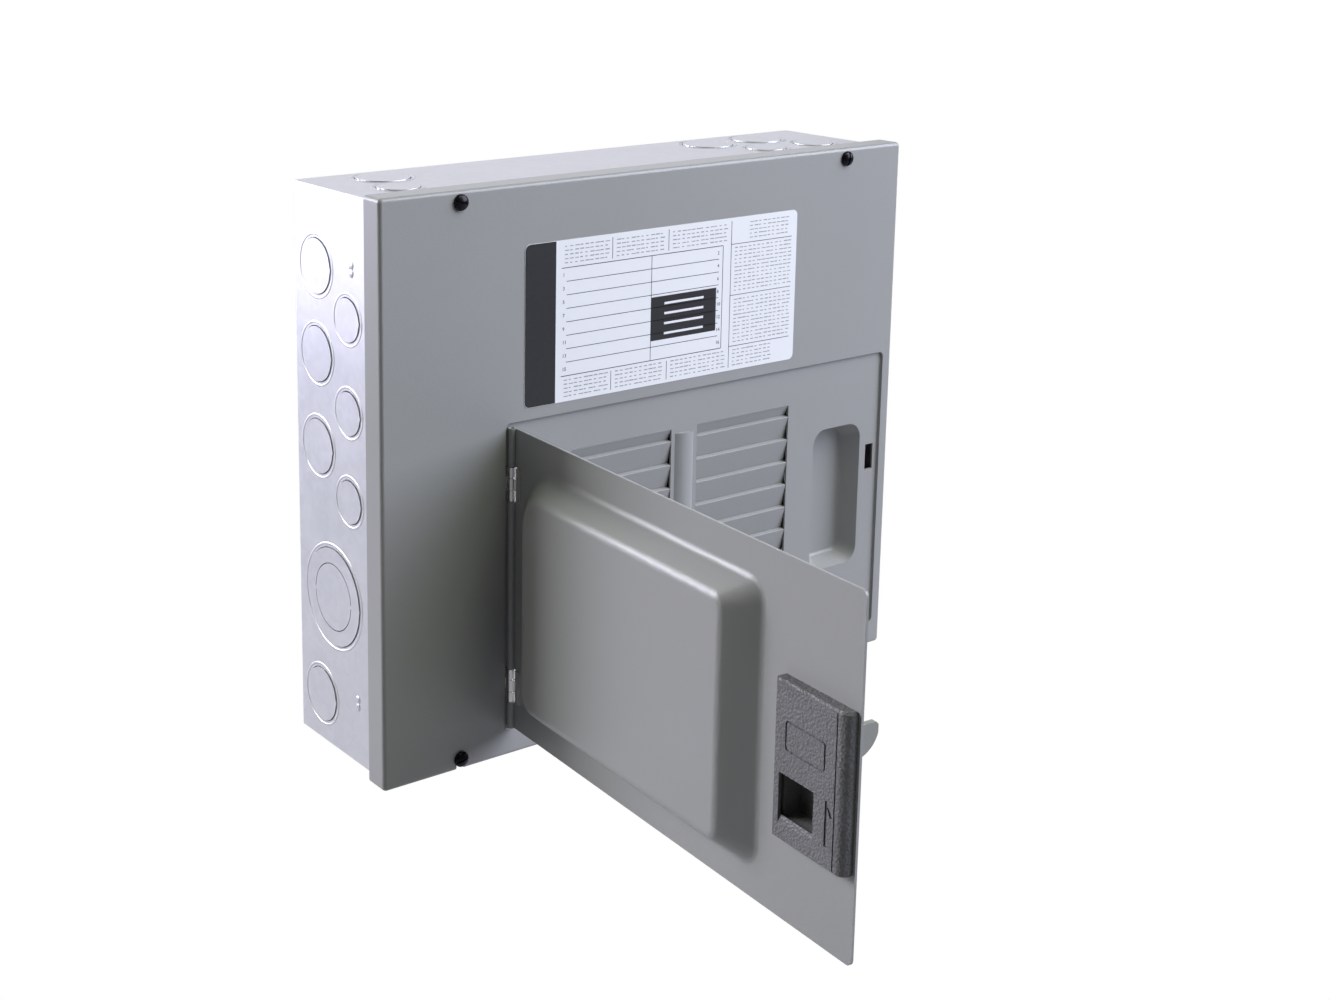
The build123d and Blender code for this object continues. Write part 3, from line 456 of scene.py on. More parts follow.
def places_tree():
    """A copy of one pattern at each given point."""
    tree = bpy.data.node_groups.new("Pieces at places", "GeometryNodeTree")
    face = tree.interface
    face.new_socket("Places", in_out="INPUT", socket_type="NodeSocketGeometry")
    face.new_socket("Pattern", in_out="INPUT", socket_type="NodeSocketObject")
    face.new_socket("Largest turn", in_out="INPUT", socket_type="NodeSocketVector")
    for title in ("Smallest size", "Largest size"):
        size = face.new_socket(title, in_out="INPUT", socket_type="NodeSocketVector")
        size.default_value = (1, 1, 1)
    face.new_socket("Seed", in_out="INPUT", socket_type="NodeSocketInt")
    face.new_socket("Finish", in_out="INPUT", socket_type="NodeSocketMaterial")
    face.new_socket("Geometry", in_out="OUTPUT", socket_type="NodeSocketGeometry")
    nodes, links = tree.nodes, tree.links
    taken = nodes.new("NodeGroupInput")
    taken.label = "Places, pattern, turn and size"
    taken.location = (-640, 0)
    pattern = nodes.new("GeometryNodeObjectInfo")
    pattern.label = "The piece"
    pattern.location = (-400, 140)
    turn = nodes.new("FunctionNodeRandomValue")
    turn.label = "Each turned by its own angle"
    turn.location = (-400, -120)
    size = nodes.new("FunctionNodeRandomValue")
    size.label = "Each with its own size"
    size.location = (-400, -340)
    copies = nodes.new("GeometryNodeInstanceOnPoints")
    copies.label = "One at each place"
    copies.location = (-160, 60)
    solid = nodes.new("GeometryNodeRealizeInstances")
    solid.label = "Real pieces"
    solid.location = (40, 60)
    finish = nodes.new("GeometryNodeSetMaterial")
    finish.label = "Finish"
    finish.location = (220, 60)
    given = nodes.new("NodeGroupOutput")
    given.label = "Pieces"
    given.location = (400, 60)
    turn.data_type = "FLOAT_VECTOR"
    size.data_type = "FLOAT_VECTOR"
    links.new(taken.outputs["Places"], copies.inputs["Points"])
    links.new(taken.outputs["Pattern"], pattern.inputs["Object"])
    links.new(taken.outputs["Largest turn"], turn.inputs["Max"])
    links.new(taken.outputs["Seed"], turn.inputs["Seed"])
    links.new(taken.outputs["Smallest size"], size.inputs["Min"])
    links.new(taken.outputs["Largest size"], size.inputs["Max"])
    links.new(taken.outputs["Seed"], size.inputs["Seed"])
    links.new(turn.outputs["Value"], copies.inputs["Rotation"])
    links.new(size.outputs["Value"], copies.inputs["Scale"])
    links.new(pattern.outputs["Geometry"], copies.inputs["Instance"])
    links.new(copies.outputs["Instances"], solid.inputs["Geometry"])
    links.new(solid.outputs["Geometry"], finish.inputs["Geometry"])
    links.new(taken.outputs["Finish"], finish.inputs["Material"])
    links.new(finish.outputs["Geometry"], given.inputs["Geometry"])
    return tree


# ---------------------------------------------------------------- materials


def frame_nodes(tree, title, members):
    """A labelled frame round the nodes that make one effect."""
    surround = tree.nodes.new("NodeFrame")
    surround.label = title
    for member in members:
        member.parent = surround


def new_material(name):
    """A material with an empty node tree, under a name that nothing else has."""
    if bpy.data.materials.get(name) is not None:
        raise RuntimeError("there is already a material called " + name)
    material = bpy.data.materials.new(name)
    material.use_nodes = True
    material.node_tree.nodes.clear()
    return material


def powder_coat(name, colour, roughness, peel=0.00035, tint=0.05):
    """Satin powder coat: an even colour with faint clouds, and a fine orange-peel surface."""
    material = new_material(name)
    tree = material.node_tree
    nodes, links = tree.nodes, tree.links
    place = nodes.new("ShaderNodeTexCoord")
    place.label = "Place on the sheet"
    clouds = nodes.new("ShaderNodeTexNoise")
    clouds.label = "Faint clouds in the coat"
    shade = nodes.new("ShaderNodeMix")
    shade.label = "Coat colour"
    peel_noise = nodes.new("ShaderNodeTexNoise")
    peel_noise.label = "Orange peel"
    speck = nodes.new("ShaderNodeTexNoise")
    speck.label = "Fine specks"
    both = nodes.new("ShaderNodeMath")
    both.label = "Peel and specks"
    relief = nodes.new("ShaderNodeBump")
    relief.label = "Coat relief"
    sheen = nodes.new("ShaderNodeMapRange")
    sheen.label = "Satin, a little uneven"
    shader = nodes.new("ShaderNodeBsdfPrincipled")
    shader.label = "Powder coat"
    output = nodes.new("ShaderNodeOutputMaterial")
    output.label = "Finish"
    for node, spot in (
        (place, (-1100, 0)), (clouds, (-860, 260)), (shade, (-420, 300)),
        (peel_noise, (-860, -260)), (speck, (-860, -500)), (both, (-640, -380)),
        (relief, (-420, -340)), (sheen, (-640, 20)), (shader, (-160, 60)), (output, (140, 60)),
    ):
        node.location = spot
    frame_nodes(tree, "Colour", (clouds, shade))
    frame_nodes(tree, "Surface", (peel_noise, speck, both, relief, sheen))
    clouds.inputs["Scale"].default_value = 9
    clouds.inputs["Detail"].default_value = 3
    shade.data_type = "RGBA"
    shade.inputs["A"].default_value = [channel * (1 - tint) for channel in colour[:3]] + [1]
    shade.inputs["B"].default_value = [channel * (1 + tint) for channel in colour[:3]] + [1]
    peel_noise.inputs["Scale"].default_value = 1100
    peel_noise.inputs["Detail"].default_value = 1.5
    speck.inputs["Scale"].default_value = 2600
    speck.inputs["Detail"].default_value = 1
    both.operation = "MULTIPLY_ADD"
    both.inputs[1].default_value = 0.35
    relief.inputs["Strength"].default_value = 0.14
    relief.inputs["Distance"].default_value = peel
    sheen.inputs["To Min"].default_value = roughness - 0.05
    sheen.inputs["To Max"].default_value = roughness + 0.05
    shader.inputs["Coat Weight"].default_value = 0.12
    shader.inputs["Coat Roughness"].default_value = 0.3
    links.new(place.outputs["Object"], clouds.inputs["Vector"])
    links.new(place.outputs["Object"], peel_noise.inputs["Vector"])
    links.new(place.outputs["Object"], speck.inputs["Vector"])
    links.new(clouds.outputs["Fac"], shade.inputs["Factor"])
    links.new(clouds.outputs["Fac"], sheen.inputs["Value"])
    links.new(speck.outputs["Fac"], both.inputs[0])
    links.new(peel_noise.outputs["Fac"], both.inputs[2])
    links.new(both.outputs["Value"], relief.inputs["Height"])
    links.new(shade.outputs["Result"], shader.inputs["Base Color"])
    links.new(sheen.outputs["Result"], shader.inputs["Roughness"])
    links.new(relief.outputs["Normal"], shader.inputs["Normal"])
    links.new(shader.outputs["BSDF"], output.inputs["Surface"])
    return material


def galvanised(name, colour, spangle, roughness=0.4):
    """Zinc-coated sheet: pale crystals of slightly different shade, and faint rolling lines."""
    material = new_material(name)
    tree = material.node_tree
    nodes, links = tree.nodes, tree.links
    place = nodes.new("ShaderNodeTexCoord")
    place.label = "Place on the sheet"
    crystals = nodes.new("ShaderNodeTexVoronoi")
    crystals.label = "Zinc crystals"
    crystal_shade = nodes.new("ShaderNodeSeparateColor")
    crystal_shade.label = "One shade for each crystal"
    stretch = nodes.new("ShaderNodeMapping")
    stretch.label = "Drawn out along the rolling"
    rolling = nodes.new("ShaderNodeTexNoise")
    rolling.label = "Rolling lines"
    blotches = nodes.new("ShaderNodeTexNoise")
    blotches.label = "Dull blotches"
    mixed = nodes.new("ShaderNodeMath")
    mixed.label = "Crystals and blotches"
    shade = nodes.new("ShaderNodeMix")
    shade.label = "Zinc colour"
    dullness = nodes.new("ShaderNodeMapRange")
    dullness.label = "Roughness of each crystal"
    relief = nodes.new("ShaderNodeBump")
    relief.label = "Sheet relief"
    shader = nodes.new("ShaderNodeBsdfPrincipled")
    shader.label = "Zinc"
    output = nodes.new("ShaderNodeOutputMaterial")
    output.label = "Finish"
    for node, spot in (
        (place, (-1300, 0)), (crystals, (-1060, 300)), (crystal_shade, (-860, 300)),
        (blotches, (-1060, 20)), (mixed, (-640, 240)), (shade, (-420, 320)), (dullness, (-420, 60)),
        (stretch, (-1060, -260)), (rolling, (-860, -260)), (relief, (-420, -260)),
        (shader, (-160, 60)), (output, (140, 60)),
    ):
        node.location = spot
    frame_nodes(tree, "Colour", (crystals, crystal_shade, blotches, mixed, shade))
    frame_nodes(tree, "Surface", (stretch, rolling, relief, dullness))
    crystals.inputs["Scale"].default_value = 1 / spangle
    blotches.inputs["Scale"].default_value = 26
    blotches.inputs["Detail"].default_value = 4
    stretch.inputs["Scale"].default_value = (900, 900, 25)
    rolling.inputs["Scale"].default_value = 1
    rolling.inputs["Detail"].default_value = 2
    mixed.operation = "MULTIPLY_ADD"
    mixed.inputs[1].default_value = 0.5
    shade.data_type = "RGBA"
    shade.inputs["A"].default_value = [channel * 0.95 for channel in colour[:3]] + [1]
    shade.inputs["B"].default_value = [min(1, channel * 1.05) for channel in colour[:3]] + [1]
    dullness.inputs["To Min"].default_value = roughness - 0.025
    dullness.inputs["To Max"].default_value = roughness + 0.035
    relief.inputs["Strength"].default_value = 0.12
    relief.inputs["Distance"].default_value = 0.0002
    shader.inputs["Metallic"].default_value = 0.85
    links.new(place.outputs["Object"], crystals.inputs["Vector"])
    links.new(place.outputs["Object"], blotches.inputs["Vector"])
    links.new(place.outputs["Object"], stretch.inputs["Vector"])
    links.new(stretch.outputs["Vector"], rolling.inputs["Vector"])
    links.new(crystals.outputs["Color"], crystal_shade.inputs["Color"])
    links.new(crystal_shade.outputs["Red"], mixed.inputs[0])
    links.new(blotches.outputs["Fac"], mixed.inputs[2])
    links.new(mixed.outputs["Value"], shade.inputs["Factor"])
    links.new(mixed.outputs["Value"], dullness.inputs["Value"])
    links.new(rolling.outputs["Fac"], relief.inputs["Height"])
    links.new(shade.outputs["Result"], shader.inputs["Base Color"])
    links.new(dullness.outputs["Result"], shader.inputs["Roughness"])
    links.new(relief.outputs["Normal"], shader.inputs["Normal"])
    links.new(shader.outputs["BSDF"], output.inputs["Surface"])
    return material


def plain_metal(name, colour, roughness, lines=(200, 200, 2000), metallic=1.0, gloss=0.5):
    """Plated or extruded metal: fine drawn lines and small stains."""
    material = new_material(name)
    tree = material.node_tree
    nodes, links = tree.nodes, tree.links
    place = nodes.new("ShaderNodeTexCoord")
    place.label = "Place on the piece"
    stretch = nodes.new("ShaderNodeMapping")
    stretch.label = "Drawn direction"
    drawn = nodes.new("ShaderNodeTexNoise")
    drawn.label = "Drawn lines"
    stains = nodes.new("ShaderNodeTexNoise")
    stains.label = "Small stains"
    shade = nodes.new("ShaderNodeMix")
    shade.label = "Metal colour"
    dullness = nodes.new("ShaderNodeMapRange")
    dullness.label = "Uneven polish"
    relief = nodes.new("ShaderNodeBump")
    relief.label = "Line relief"
    shader = nodes.new("ShaderNodeBsdfPrincipled")
    shader.label = "Metal"
    output = nodes.new("ShaderNodeOutputMaterial")
    output.label = "Finish"
    for node, spot in (
        (place, (-1100, 0)), (stretch, (-880, -200)), (drawn, (-660, -200)), (stains, (-880, 200)),
        (shade, (-420, 260)), (dullness, (-420, 20)), (relief, (-420, -240)), (shader, (-160, 60)),
        (output, (140, 60)),
    ):
        node.location = spot
    frame_nodes(tree, "Colour", (stains, shade))
    frame_nodes(tree, "Surface", (stretch, drawn, dullness, relief))
    stretch.inputs["Scale"].default_value = lines
    drawn.inputs["Scale"].default_value = 1
    drawn.inputs["Detail"].default_value = 2
    stains.inputs["Scale"].default_value = 180
    stains.inputs["Detail"].default_value = 3
    shade.data_type = "RGBA"
    shade.inputs["A"].default_value = [channel * 0.86 for channel in colour] + [1]
    shade.inputs["B"].default_value = [min(1, channel * 1.08) for channel in colour] + [1]
    dullness.inputs["To Min"].default_value = roughness - 0.06
    dullness.inputs["To Max"].default_value = roughness + 0.08
    relief.inputs["Strength"].default_value = 0.2
    relief.inputs["Distance"].default_value = 0.00004
    shader.inputs["Metallic"].default_value = metallic
    shader.inputs["Specular IOR Level"].default_value = gloss
    links.new(place.outputs["Object"], stretch.inputs["Vector"])
    links.new(place.outputs["Object"], stains.inputs["Vector"])
    links.new(stretch.outputs["Vector"], drawn.inputs["Vector"])
    links.new(stains.outputs["Fac"], shade.inputs["Factor"])
    links.new(drawn.outputs["Fac"], dullness.inputs["Value"])
    links.new(drawn.outputs["Fac"], relief.inputs["Height"])
    links.new(shade.outputs["Result"], shader.inputs["Base Color"])
    links.new(dullness.outputs["Result"], shader.inputs["Roughness"])
    links.new(relief.outputs["Normal"], shader.inputs["Normal"])
    links.new(shader.outputs["BSDF"], output.inputs["Surface"])
    return material


def moulded_plastic(name, colour, roughness, grain=0.0011, depth=0.00012, tint=0.12):
    """Moulded plastic with a pressed grain of small cells, and painted shade: the colour is darker
    in the hollows between the cells.
    """
    material = new_material(name)
    tree = material.node_tree
    nodes, links = tree.nodes, tree.links
    place = nodes.new("ShaderNodeTexCoord")
    place.label = "Place on the piece"
    cells = nodes.new("ShaderNodeTexVoronoi")
    cells.label = "Moulded grain"
    flow = nodes.new("ShaderNodeTexNoise")
    flow.label = "Flow clouds"
    shade = nodes.new("ShaderNodeMix")
    shade.label = "Plastic colour"
    # The colour mixes real flow clouds with painted shade in the hollows between the grain's cells.
    flow_and_painted_shade = nodes.new("ShaderNodeMath")
    flow_and_painted_shade.label = "Darker between the cells"
    dullness = nodes.new("ShaderNodeMapRange")
    dullness.label = "Duller between the cells"
    relief = nodes.new("ShaderNodeBump")
    relief.label = "Grain relief"
    shader = nodes.new("ShaderNodeBsdfPrincipled")
    shader.label = "Plastic"
    output = nodes.new("ShaderNodeOutputMaterial")
    output.label = "Finish"
    for node, spot in (
        (place, (-1100, 0)), (cells, (-860, -160)), (flow, (-860, 200)), (flow_and_painted_shade, (-640, 240)),
        (shade, (-420, 260)), (dullness, (-420, 20)), (relief, (-420, -240)), (shader, (-160, 60)),
        (output, (140, 60)),
    ):
        node.location = spot
    frame_nodes(tree, "Colour", (flow, flow_and_painted_shade, shade))
    frame_nodes(tree, "Surface", (cells, dullness, relief))
    # Painted shade: the colour darkens as the distance from a cell's middle grows, towards the
    # hollows at its edges.
    flow_and_painted_shade.operation = "MULTIPLY_ADD"
    flow_and_painted_shade.inputs[1].default_value = -0.6
    cells.inputs["Scale"].default_value = 1 / grain
    cells.inputs["Randomness"].default_value = 1
    flow.inputs["Scale"].default_value = 60
    flow.inputs["Detail"].default_value = 3
    shade.data_type = "RGBA"
    shade.inputs["A"].default_value = [channel * (1 - tint) for channel in colour[:3]] + [1]
    shade.inputs["B"].default_value = [channel * (1 + tint) for channel in colour[:3]] + [1]
    dullness.inputs["To Min"].default_value = roughness - 0.04
    dullness.inputs["To Max"].default_value = roughness + 0.10
    relief.inputs["Strength"].default_value = 1
    relief.inputs["Distance"].default_value = depth
    relief.invert = True
    links.new(place.outputs["Object"], cells.inputs["Vector"])
    links.new(place.outputs["Object"], flow.inputs["Vector"])
    links.new(cells.outputs["Distance"], flow_and_painted_shade.inputs[0])
    links.new(flow.outputs["Fac"], flow_and_painted_shade.inputs[2])
    links.new(flow_and_painted_shade.outputs["Value"], shade.inputs["Factor"])
    links.new(cells.outputs["Distance"], dullness.inputs["Value"])
    links.new(cells.outputs["Distance"], relief.inputs["Height"])
    links.new(shade.outputs["Result"], shader.inputs["Base Color"])
    links.new(dullness.outputs["Result"], shader.inputs["Roughness"])
    links.new(relief.outputs["Normal"], shader.inputs["Normal"])
    links.new(shader.outputs["BSDF"], output.inputs["Surface"])
    return material


def printed_paper(name, colour, roughness, tint):
    """Coated label stock or the ink on it: faint fibres under a smooth face."""
    material = new_material(name)
    tree = material.node_tree
    nodes, links = tree.nodes, tree.links
    place = nodes.new("ShaderNodeTexCoord")
    place.label = "Place on the label"
    fibres = nodes.new("ShaderNodeTexNoise")
    fibres.label = "Paper fibres"
    shade = nodes.new("ShaderNodeMix")
    shade.label = "Paper colour"
    relief = nodes.new("ShaderNodeBump")
    relief.label = "Fibre relief"
    shader = nodes.new("ShaderNodeBsdfPrincipled")
    shader.label = "Coated paper"
    output = nodes.new("ShaderNodeOutputMaterial")
    output.label = "Finish"
    for node, spot in (
        (place, (-900, 0)), (fibres, (-680, 0)), (shade, (-420, 160)), (relief, (-420, -120)),
        (shader, (-160, 60)), (output, (140, 60)),
    ):
        node.location = spot
    frame_nodes(tree, "Fibres", (fibres, shade, relief))
    fibres.inputs["Scale"].default_value = 700
    fibres.inputs["Detail"].default_value = 4
    shade.data_type = "RGBA"
    shade.inputs["A"].default_value = [channel * (1 - tint) for channel in colour[:3]] + [1]
    shade.inputs["B"].default_value = [min(1, channel * (1 + tint)) for channel in colour[:3]] + [1]
    relief.inputs["Strength"].default_value = 0.08
    relief.inputs["Distance"].default_value = 0.0001
    shader.inputs["Roughness"].default_value = roughness
    links.new(place.outputs["Object"], fibres.inputs["Vector"])
    links.new(fibres.outputs["Fac"], shade.inputs["Factor"])
    links.new(fibres.outputs["Fac"], relief.inputs["Height"])
    links.new(shade.outputs["Result"], shader.inputs["Base Color"])
    links.new(relief.outputs["Normal"], shader.inputs["Normal"])
    links.new(shader.outputs["BSDF"], output.inputs["Surface"])
    return material


def material_named(name):
    """A finish that the finishes operator has made."""
    found = bpy.data.materials.get(name)
    if found is None:
        raise RuntimeError("the material " + name + " hasn't been made yet")
    return found


def dress(node, material):
    """Gives a CAD node that stays in view its material."""
    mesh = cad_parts[node].data
    mesh.materials.clear()
    mesh.materials.append(material)


# ---------------------------------------------------------------- operators


class LOADCENTER_OT_finishes(bpy.types.Operator):
    """Makes every material of the load center"""

    bl_idname = "loadcenter.finishes"
    bl_label = "Make the finishes"

    def execute(self, context):
        sheet = context.scene.loadcenter_sheet
        latch = context.scene.loadcenter_latch
        label = context.scene.loadcenter_label
        coat = tuple(sheet.coat_colour)
        powder_coat("cover_coat", coat, sheet.coat_roughness)
        powder_coat("door_coat", coat, sheet.coat_roughness)
        powder_coat("strip_coat", [channel * 0.97 for channel in coat], sheet.coat_roughness)
        galvanised("zinc_sheet", tuple(sheet.zinc_colour), sheet.spangle_size)
        plain_metal("hinge_zinc_plate", (0.92, 0.91, 0.88), 0.24, lines=(700, 700, 30))
        plain_metal("steel_screw", (0.62, 0.62, 0.62), 0.34)
        plain_metal("rail_steel", (0.66, 0.66, 0.68), 0.4)
        plain_metal("bar_aluminium", (0.78, 0.79, 0.80), 0.36, lines=(2000, 2000, 40))
        plain_metal("lug_aluminium", (0.80, 0.81, 0.82), 0.42, lines=(1500, 1500, 60))
        plain_metal("spring_wire", (0.64, 0.64, 0.65), 0.28)
        plain_metal("blackened_screw", (0.006, 0.006, 0.009), 0.25, metallic=0.0, gloss=0.2)
        plain_metal("green_screw", (0.02, 0.20, 0.06), 0.32, metallic=0.3)
        # The bezel's tint deepens both its flow clouds and its painted shade between the grain's
        # cells.
        moulded_plastic(
            "bezel_finish", tuple(latch.bezel_colour), 0.46,
            grain=latch.grain_pitch, depth=0.00032, tint=0.2,
        )
        moulded_plastic("slider_finish", (0.17, 0.165, 0.16), 0.5, grain=0.0009)
        moulded_plastic("retainer_finish", (0.06, 0.06, 0.06), 0.5, grain=0.0009)
        moulded_plastic(
            "hook_finish", (0.31, 0.315, 0.285), 0.45, grain=0.0007, depth=0.00004, tint=0.05
        )
        moulded_plastic("base_thermoset", (0.02, 0.02, 0.022), 0.45, grain=0.0014, depth=0.00006)
        moulded_plastic("insulator_plastic", (0.05, 0.05, 0.055), 0.5, grain=0.0012, depth=0.00006)
        printed_paper("label_paper", tuple(label.paper_colour), 0.38, 0.015)
        printed_paper("label_ink", tuple(label.ink_colour), 0.32, 0.2)
        printed_paper("label_grey_ink", (0.34, 0.34, 0.35), 0.36, 0.05)
        return {"FINISHED"}


class LOADCENTER_OT_box(bpy.types.Operator):
    """Finishes the galvanised box and its knockouts"""

    bl_idname = "loadcenter.box"
    bl_label = "Finish the box"

    def execute(self, context):
        zinc = material_named("zinc_sheet")
        for node in (
            "left_wall", "right_wall", "back_wall", "top_end_wall", "bottom_end_wall",
            "left_knockouts", "right_knockouts", "top_knockouts", "bottom_knockouts",
        ):
            dress(node, zinc)
        for side, outward in (
            ("left", Vector((-1, 0, 0))), ("right", Vector((1, 0, 0))),
            ("top", Vector((0, 0, 1))), ("bottom", Vector((0, 0, -1))),
        ):
            rims = knockout_rims(side + "_knockouts", outward)
            shape = bmesh.new()
            for centre, radius in rims:
                raised_ring(shape, centre, outward, radius + RIM_OFFSET)
            if outward.x:
                wall_x = rims[0][0].x
                for front, up in BUMP_PAIRS:
                    for rise in (-BUMP_SPREAD, BUMP_SPREAD):
                        centre = Vector((wall_x, -front * MM, (up + rise) * MM))
                        dimple(shape, centre, outward, BUMP_RADIUS, BUMP_HEIGHT)
            name = side + "_stamped_rims"
            mesh = mesh_of(shape, name)
            soften(mesh, 60)
            finished(name, mesh, zinc, "enclosure", "galvanised")
        return {"FINISHED"}


class LOADCENTER_OT_interior(bpy.types.Operator):
    """Finishes the interior's base, bars, rails, lugs and screws"""

    bl_idname = "loadcenter.interior"
    bl_label = "Finish the interior"

    def execute(self, context):
        for node, finish in (
            ("interior_base", "base_thermoset"),
            ("bus_bar_left", "bar_aluminium"),
            ("bus_bar_right", "bar_aluminium"),
            ("breaker_rail_left", "rail_steel"),
            ("breaker_rail_right", "rail_steel"),
            ("neutral_bar_left", "bar_aluminium"),
            ("neutral_bar_right", "bar_aluminium"),
            ("neutral_strap", "bar_aluminium"),
            ("neutral_insulators", "insulator_plastic"),
            ("bonding_screw", "green_screw"),
        ):
            dress(node, material_named(finish))
        lug, screw = material_named("lug_aluminium"), material_named("steel_screw")
        smooth_copy("main_lugs", "wire_lugs", lug, "enclosure", "lug")
        smooth_copy("neutral_lug", "neutral_wire_lug", lug, "enclosure", "lug")
        for node in ("main_lug_screws", "neutral_lug_screw", "bus_screws", "interior_mount_screws"):
            smooth_copy(node, node + "_smooth", screw, "enclosure", "screw_steel")
        return {"FINISHED"}


def screw_mesh(name, radius, height, shank_radius, shank_length, slot_width, sides=40):
    """A slotted pan-head screw along -Y, with its seat at the origin."""
    rings = [
        (shank_radius * 0.7, shank_length), (shank_radius, shank_length - shank_radius * 0.4),
        (shank_radius, 0.0), (radius, 0.0), (radius, -height * 0.3),
    ]
    for step in range(1, 7):
        turn = math.radians(15 * step)
        rings.append(
            (radius * math.cos(turn) * 0.98 + 1e-5, -height * (0.3 + 0.7 * math.sin(turn)))
        )
    turns = [2 * math.pi * step / sides for step in range(sides)]
    shape = bmesh.new()
    loops = [
        [
            shape.verts.new((ring_radius * math.cos(turn), y, ring_radius * math.sin(turn)))
            for turn in turns
        ]
        for ring_radius, y in rings
    ]
    for lower, upper in zip(loops, loops[1:]):
        for step in range(sides):
            after = (step + 1) % sides
            shape.faces.new((lower[step], lower[after], upper[after], upper[step]))
    shape.faces.new(loops[0])
    shape.faces.new(loops[-1])
    bmesh.ops.remove_doubles(shape, verts=shape.verts, dist=2e-5)
    bmesh.ops.recalc_face_normals(shape, faces=shape.faces)
    uncut = loose_object(name + "_uncut", mesh_of(shape, name + "_uncut"))

    shape = bmesh.new()
    block(
        shape,
        (-radius * 1.2, -height * 1.2, -slot_width / 2),
        (radius * 1.2, -height * 0.5, slot_width / 2),
    )
    cutter = loose_object(name + "_slot", mesh_of(shape, name + "_slot"))
    cut = uncut.modifiers.new("Slot", "BOOLEAN")
    cut.operation = "DIFFERENCE"
    cut.object = cutter
    cut.solver = "EXACT"
    mesh = evaluated_mesh(uncut)
    discard(uncut)
    discard(cutter)
    mesh.name = name
    soften(mesh, 35)
    return mesh


def turned_screws(name, screw, places, finish, seed):
    """One mesh of screws at these places, each turned by its own angle."""
    return copies_by_nodes(
        name, places_tree(), screw,
        {"Largest turn": (0.0, math.pi, 0.0), "Smallest size": (1.0, 1.0, 1.0),
         "Largest size": (1.0, 1.0, 1.0), "Seed": seed, "Finish": material_named(finish)}, places,
    )


class LOADCENTER_OT_screws(bpy.types.Operator):
    """Makes the cover's black screws and the terminal screws on the neutral bars"""

    bl_idname = "loadcenter.screws"
    bl_label = "Make the screws"

    def execute(self, context):
        low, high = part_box("cover_screws")
        seat = COVER_SCREW_SEAT
        places = [
            (x, low.y + COVER_SCREW_HEIGHT, z)
            for x in (low.x + seat, high.x - seat)
            for z in (low.z + seat, high.z - seat)
        ]
        screw = screw_mesh(
            "cover_screw", COVER_SCREW_RADIUS, COVER_SCREW_HEIGHT,
            shank_radius=1.55 * MM, shank_length=12 * MM, slot_width=1.0 * MM,
        )
        mesh = turned_screws("cover_screw_set", screw, places, "blackened_screw", seed=4)
        finished("cover_screw_set", mesh, None, "cover", "black_screw", "cover_screws")

        low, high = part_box("neutral_screws")
        radius = TERMINAL_SCREW_RADIUS
        step = (high.z - low.z - 2 * radius) / (TERMINAL_SCREWS - 1)
        places = [
            (x, low.y + TERMINAL_SCREW_HEIGHT, low.z + radius + step * index)
            for x in (low.x + radius, high.x - radius)
            for index in range(TERMINAL_SCREWS)
        ]
        screw = screw_mesh(
            "terminal_screw", radius, TERMINAL_SCREW_HEIGHT,
            shank_radius=2.0 * MM, shank_length=3.3 * MM, slot_width=0.9 * MM, sides=24,
        )
        mesh = turned_screws("terminal_screw_set", screw, places, "steel_screw", seed=9)
        finished("terminal_screw_set", mesh, None, "enclosure", "screw_steel", "neutral_screws")
        return {"FINISHED"}


class LOADCENTER_OT_cover(bpy.types.Operator):
    """Makes the cover, pressed from painted sheet"""

    bl_idname = "loadcenter.cover"
    bl_label = "Make the cover"

    def execute(self, context):
        smooth_copy("cover", "pressed_cover", material_named("cover_coat"), "cover", "cover_paint")
        return {"FINISHED"}


class LOADCENTER_OT_twistouts(bpy.types.Operator):
    """Makes both columns of twist-outs in the breaker windows"""

    bl_idname = "loadcenter.twistouts"
    bl_label = "Make the twist-outs"

    def execute(self, context):
        settings = context.scene.loadcenter_strips
        lean = math.asin(settings.sink / settings.pitch)
        down = Vector((0, math.sin(lean), -math.cos(lean)))
        back = Vector((0, math.cos(lean), math.sin(lean)))
        sheet = settings.sheet
        reach = settings.pitch - STRIP_GAP
        ledge = settings.sink + sheet
        # Each point is (along the strip's slope, behind its front).
        strip_section = (
            (0, STRIP_CROWN), (STRIP_CROWN * 0.3, STRIP_CROWN * 0.3), (STRIP_CROWN, 0),
            (reach - STRIP_CROWN, 0), (reach, STRIP_CROWN * 0.6), (reach, sheet), (sheet, sheet),
            (sheet, ledge), (0, ledge),
        )
        tab_section = (
            (TAB_TOP, TAB_SINK), (TAB_BOTTOM, TAB_SINK), (TAB_BOTTOM, sheet), (TAB_TOP, sheet),
        )
        for side in ("left", "right"):
            node = side + "_twistouts"
            low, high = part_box(node)
            half = (high.x - low.x) / 2
            shape = bmesh.new()
            for section, start, end in (
                (strip_section, -half + STRIP_SIDE_GAP, half - STRIP_SIDE_GAP),
                (tab_section, -half, -half + TAB_WIDTH),
                (tab_section, half - TAB_WIDTH, half),
            ):
                outline = [down * along + back * behind for along, behind in section]
                near, far = [[Vector((x, *point.yz)) for point in outline] for x in (start, end)]
                prism(shape, near, far)
            origin = Vector(((low.x + high.x) / 2, low.y, high.z))
            bmesh.ops.translate(shape, verts=shape.verts, vec=origin)
            strip = mesh_of(shape, side + "_strip")
            soften(strip, 50)
            name = side + "_twistout_strips"
            mesh = copies_by_nodes(
                name, ladder_tree(), strip,
                {"Count": settings.count, "Pitch": (0.0, 0.0, -settings.pitch),
                 "Finish": material_named("strip_coat")},
            )
            finished(name, mesh, None, "cover", "twistout_paint", node)
        return {"FINISHED"}


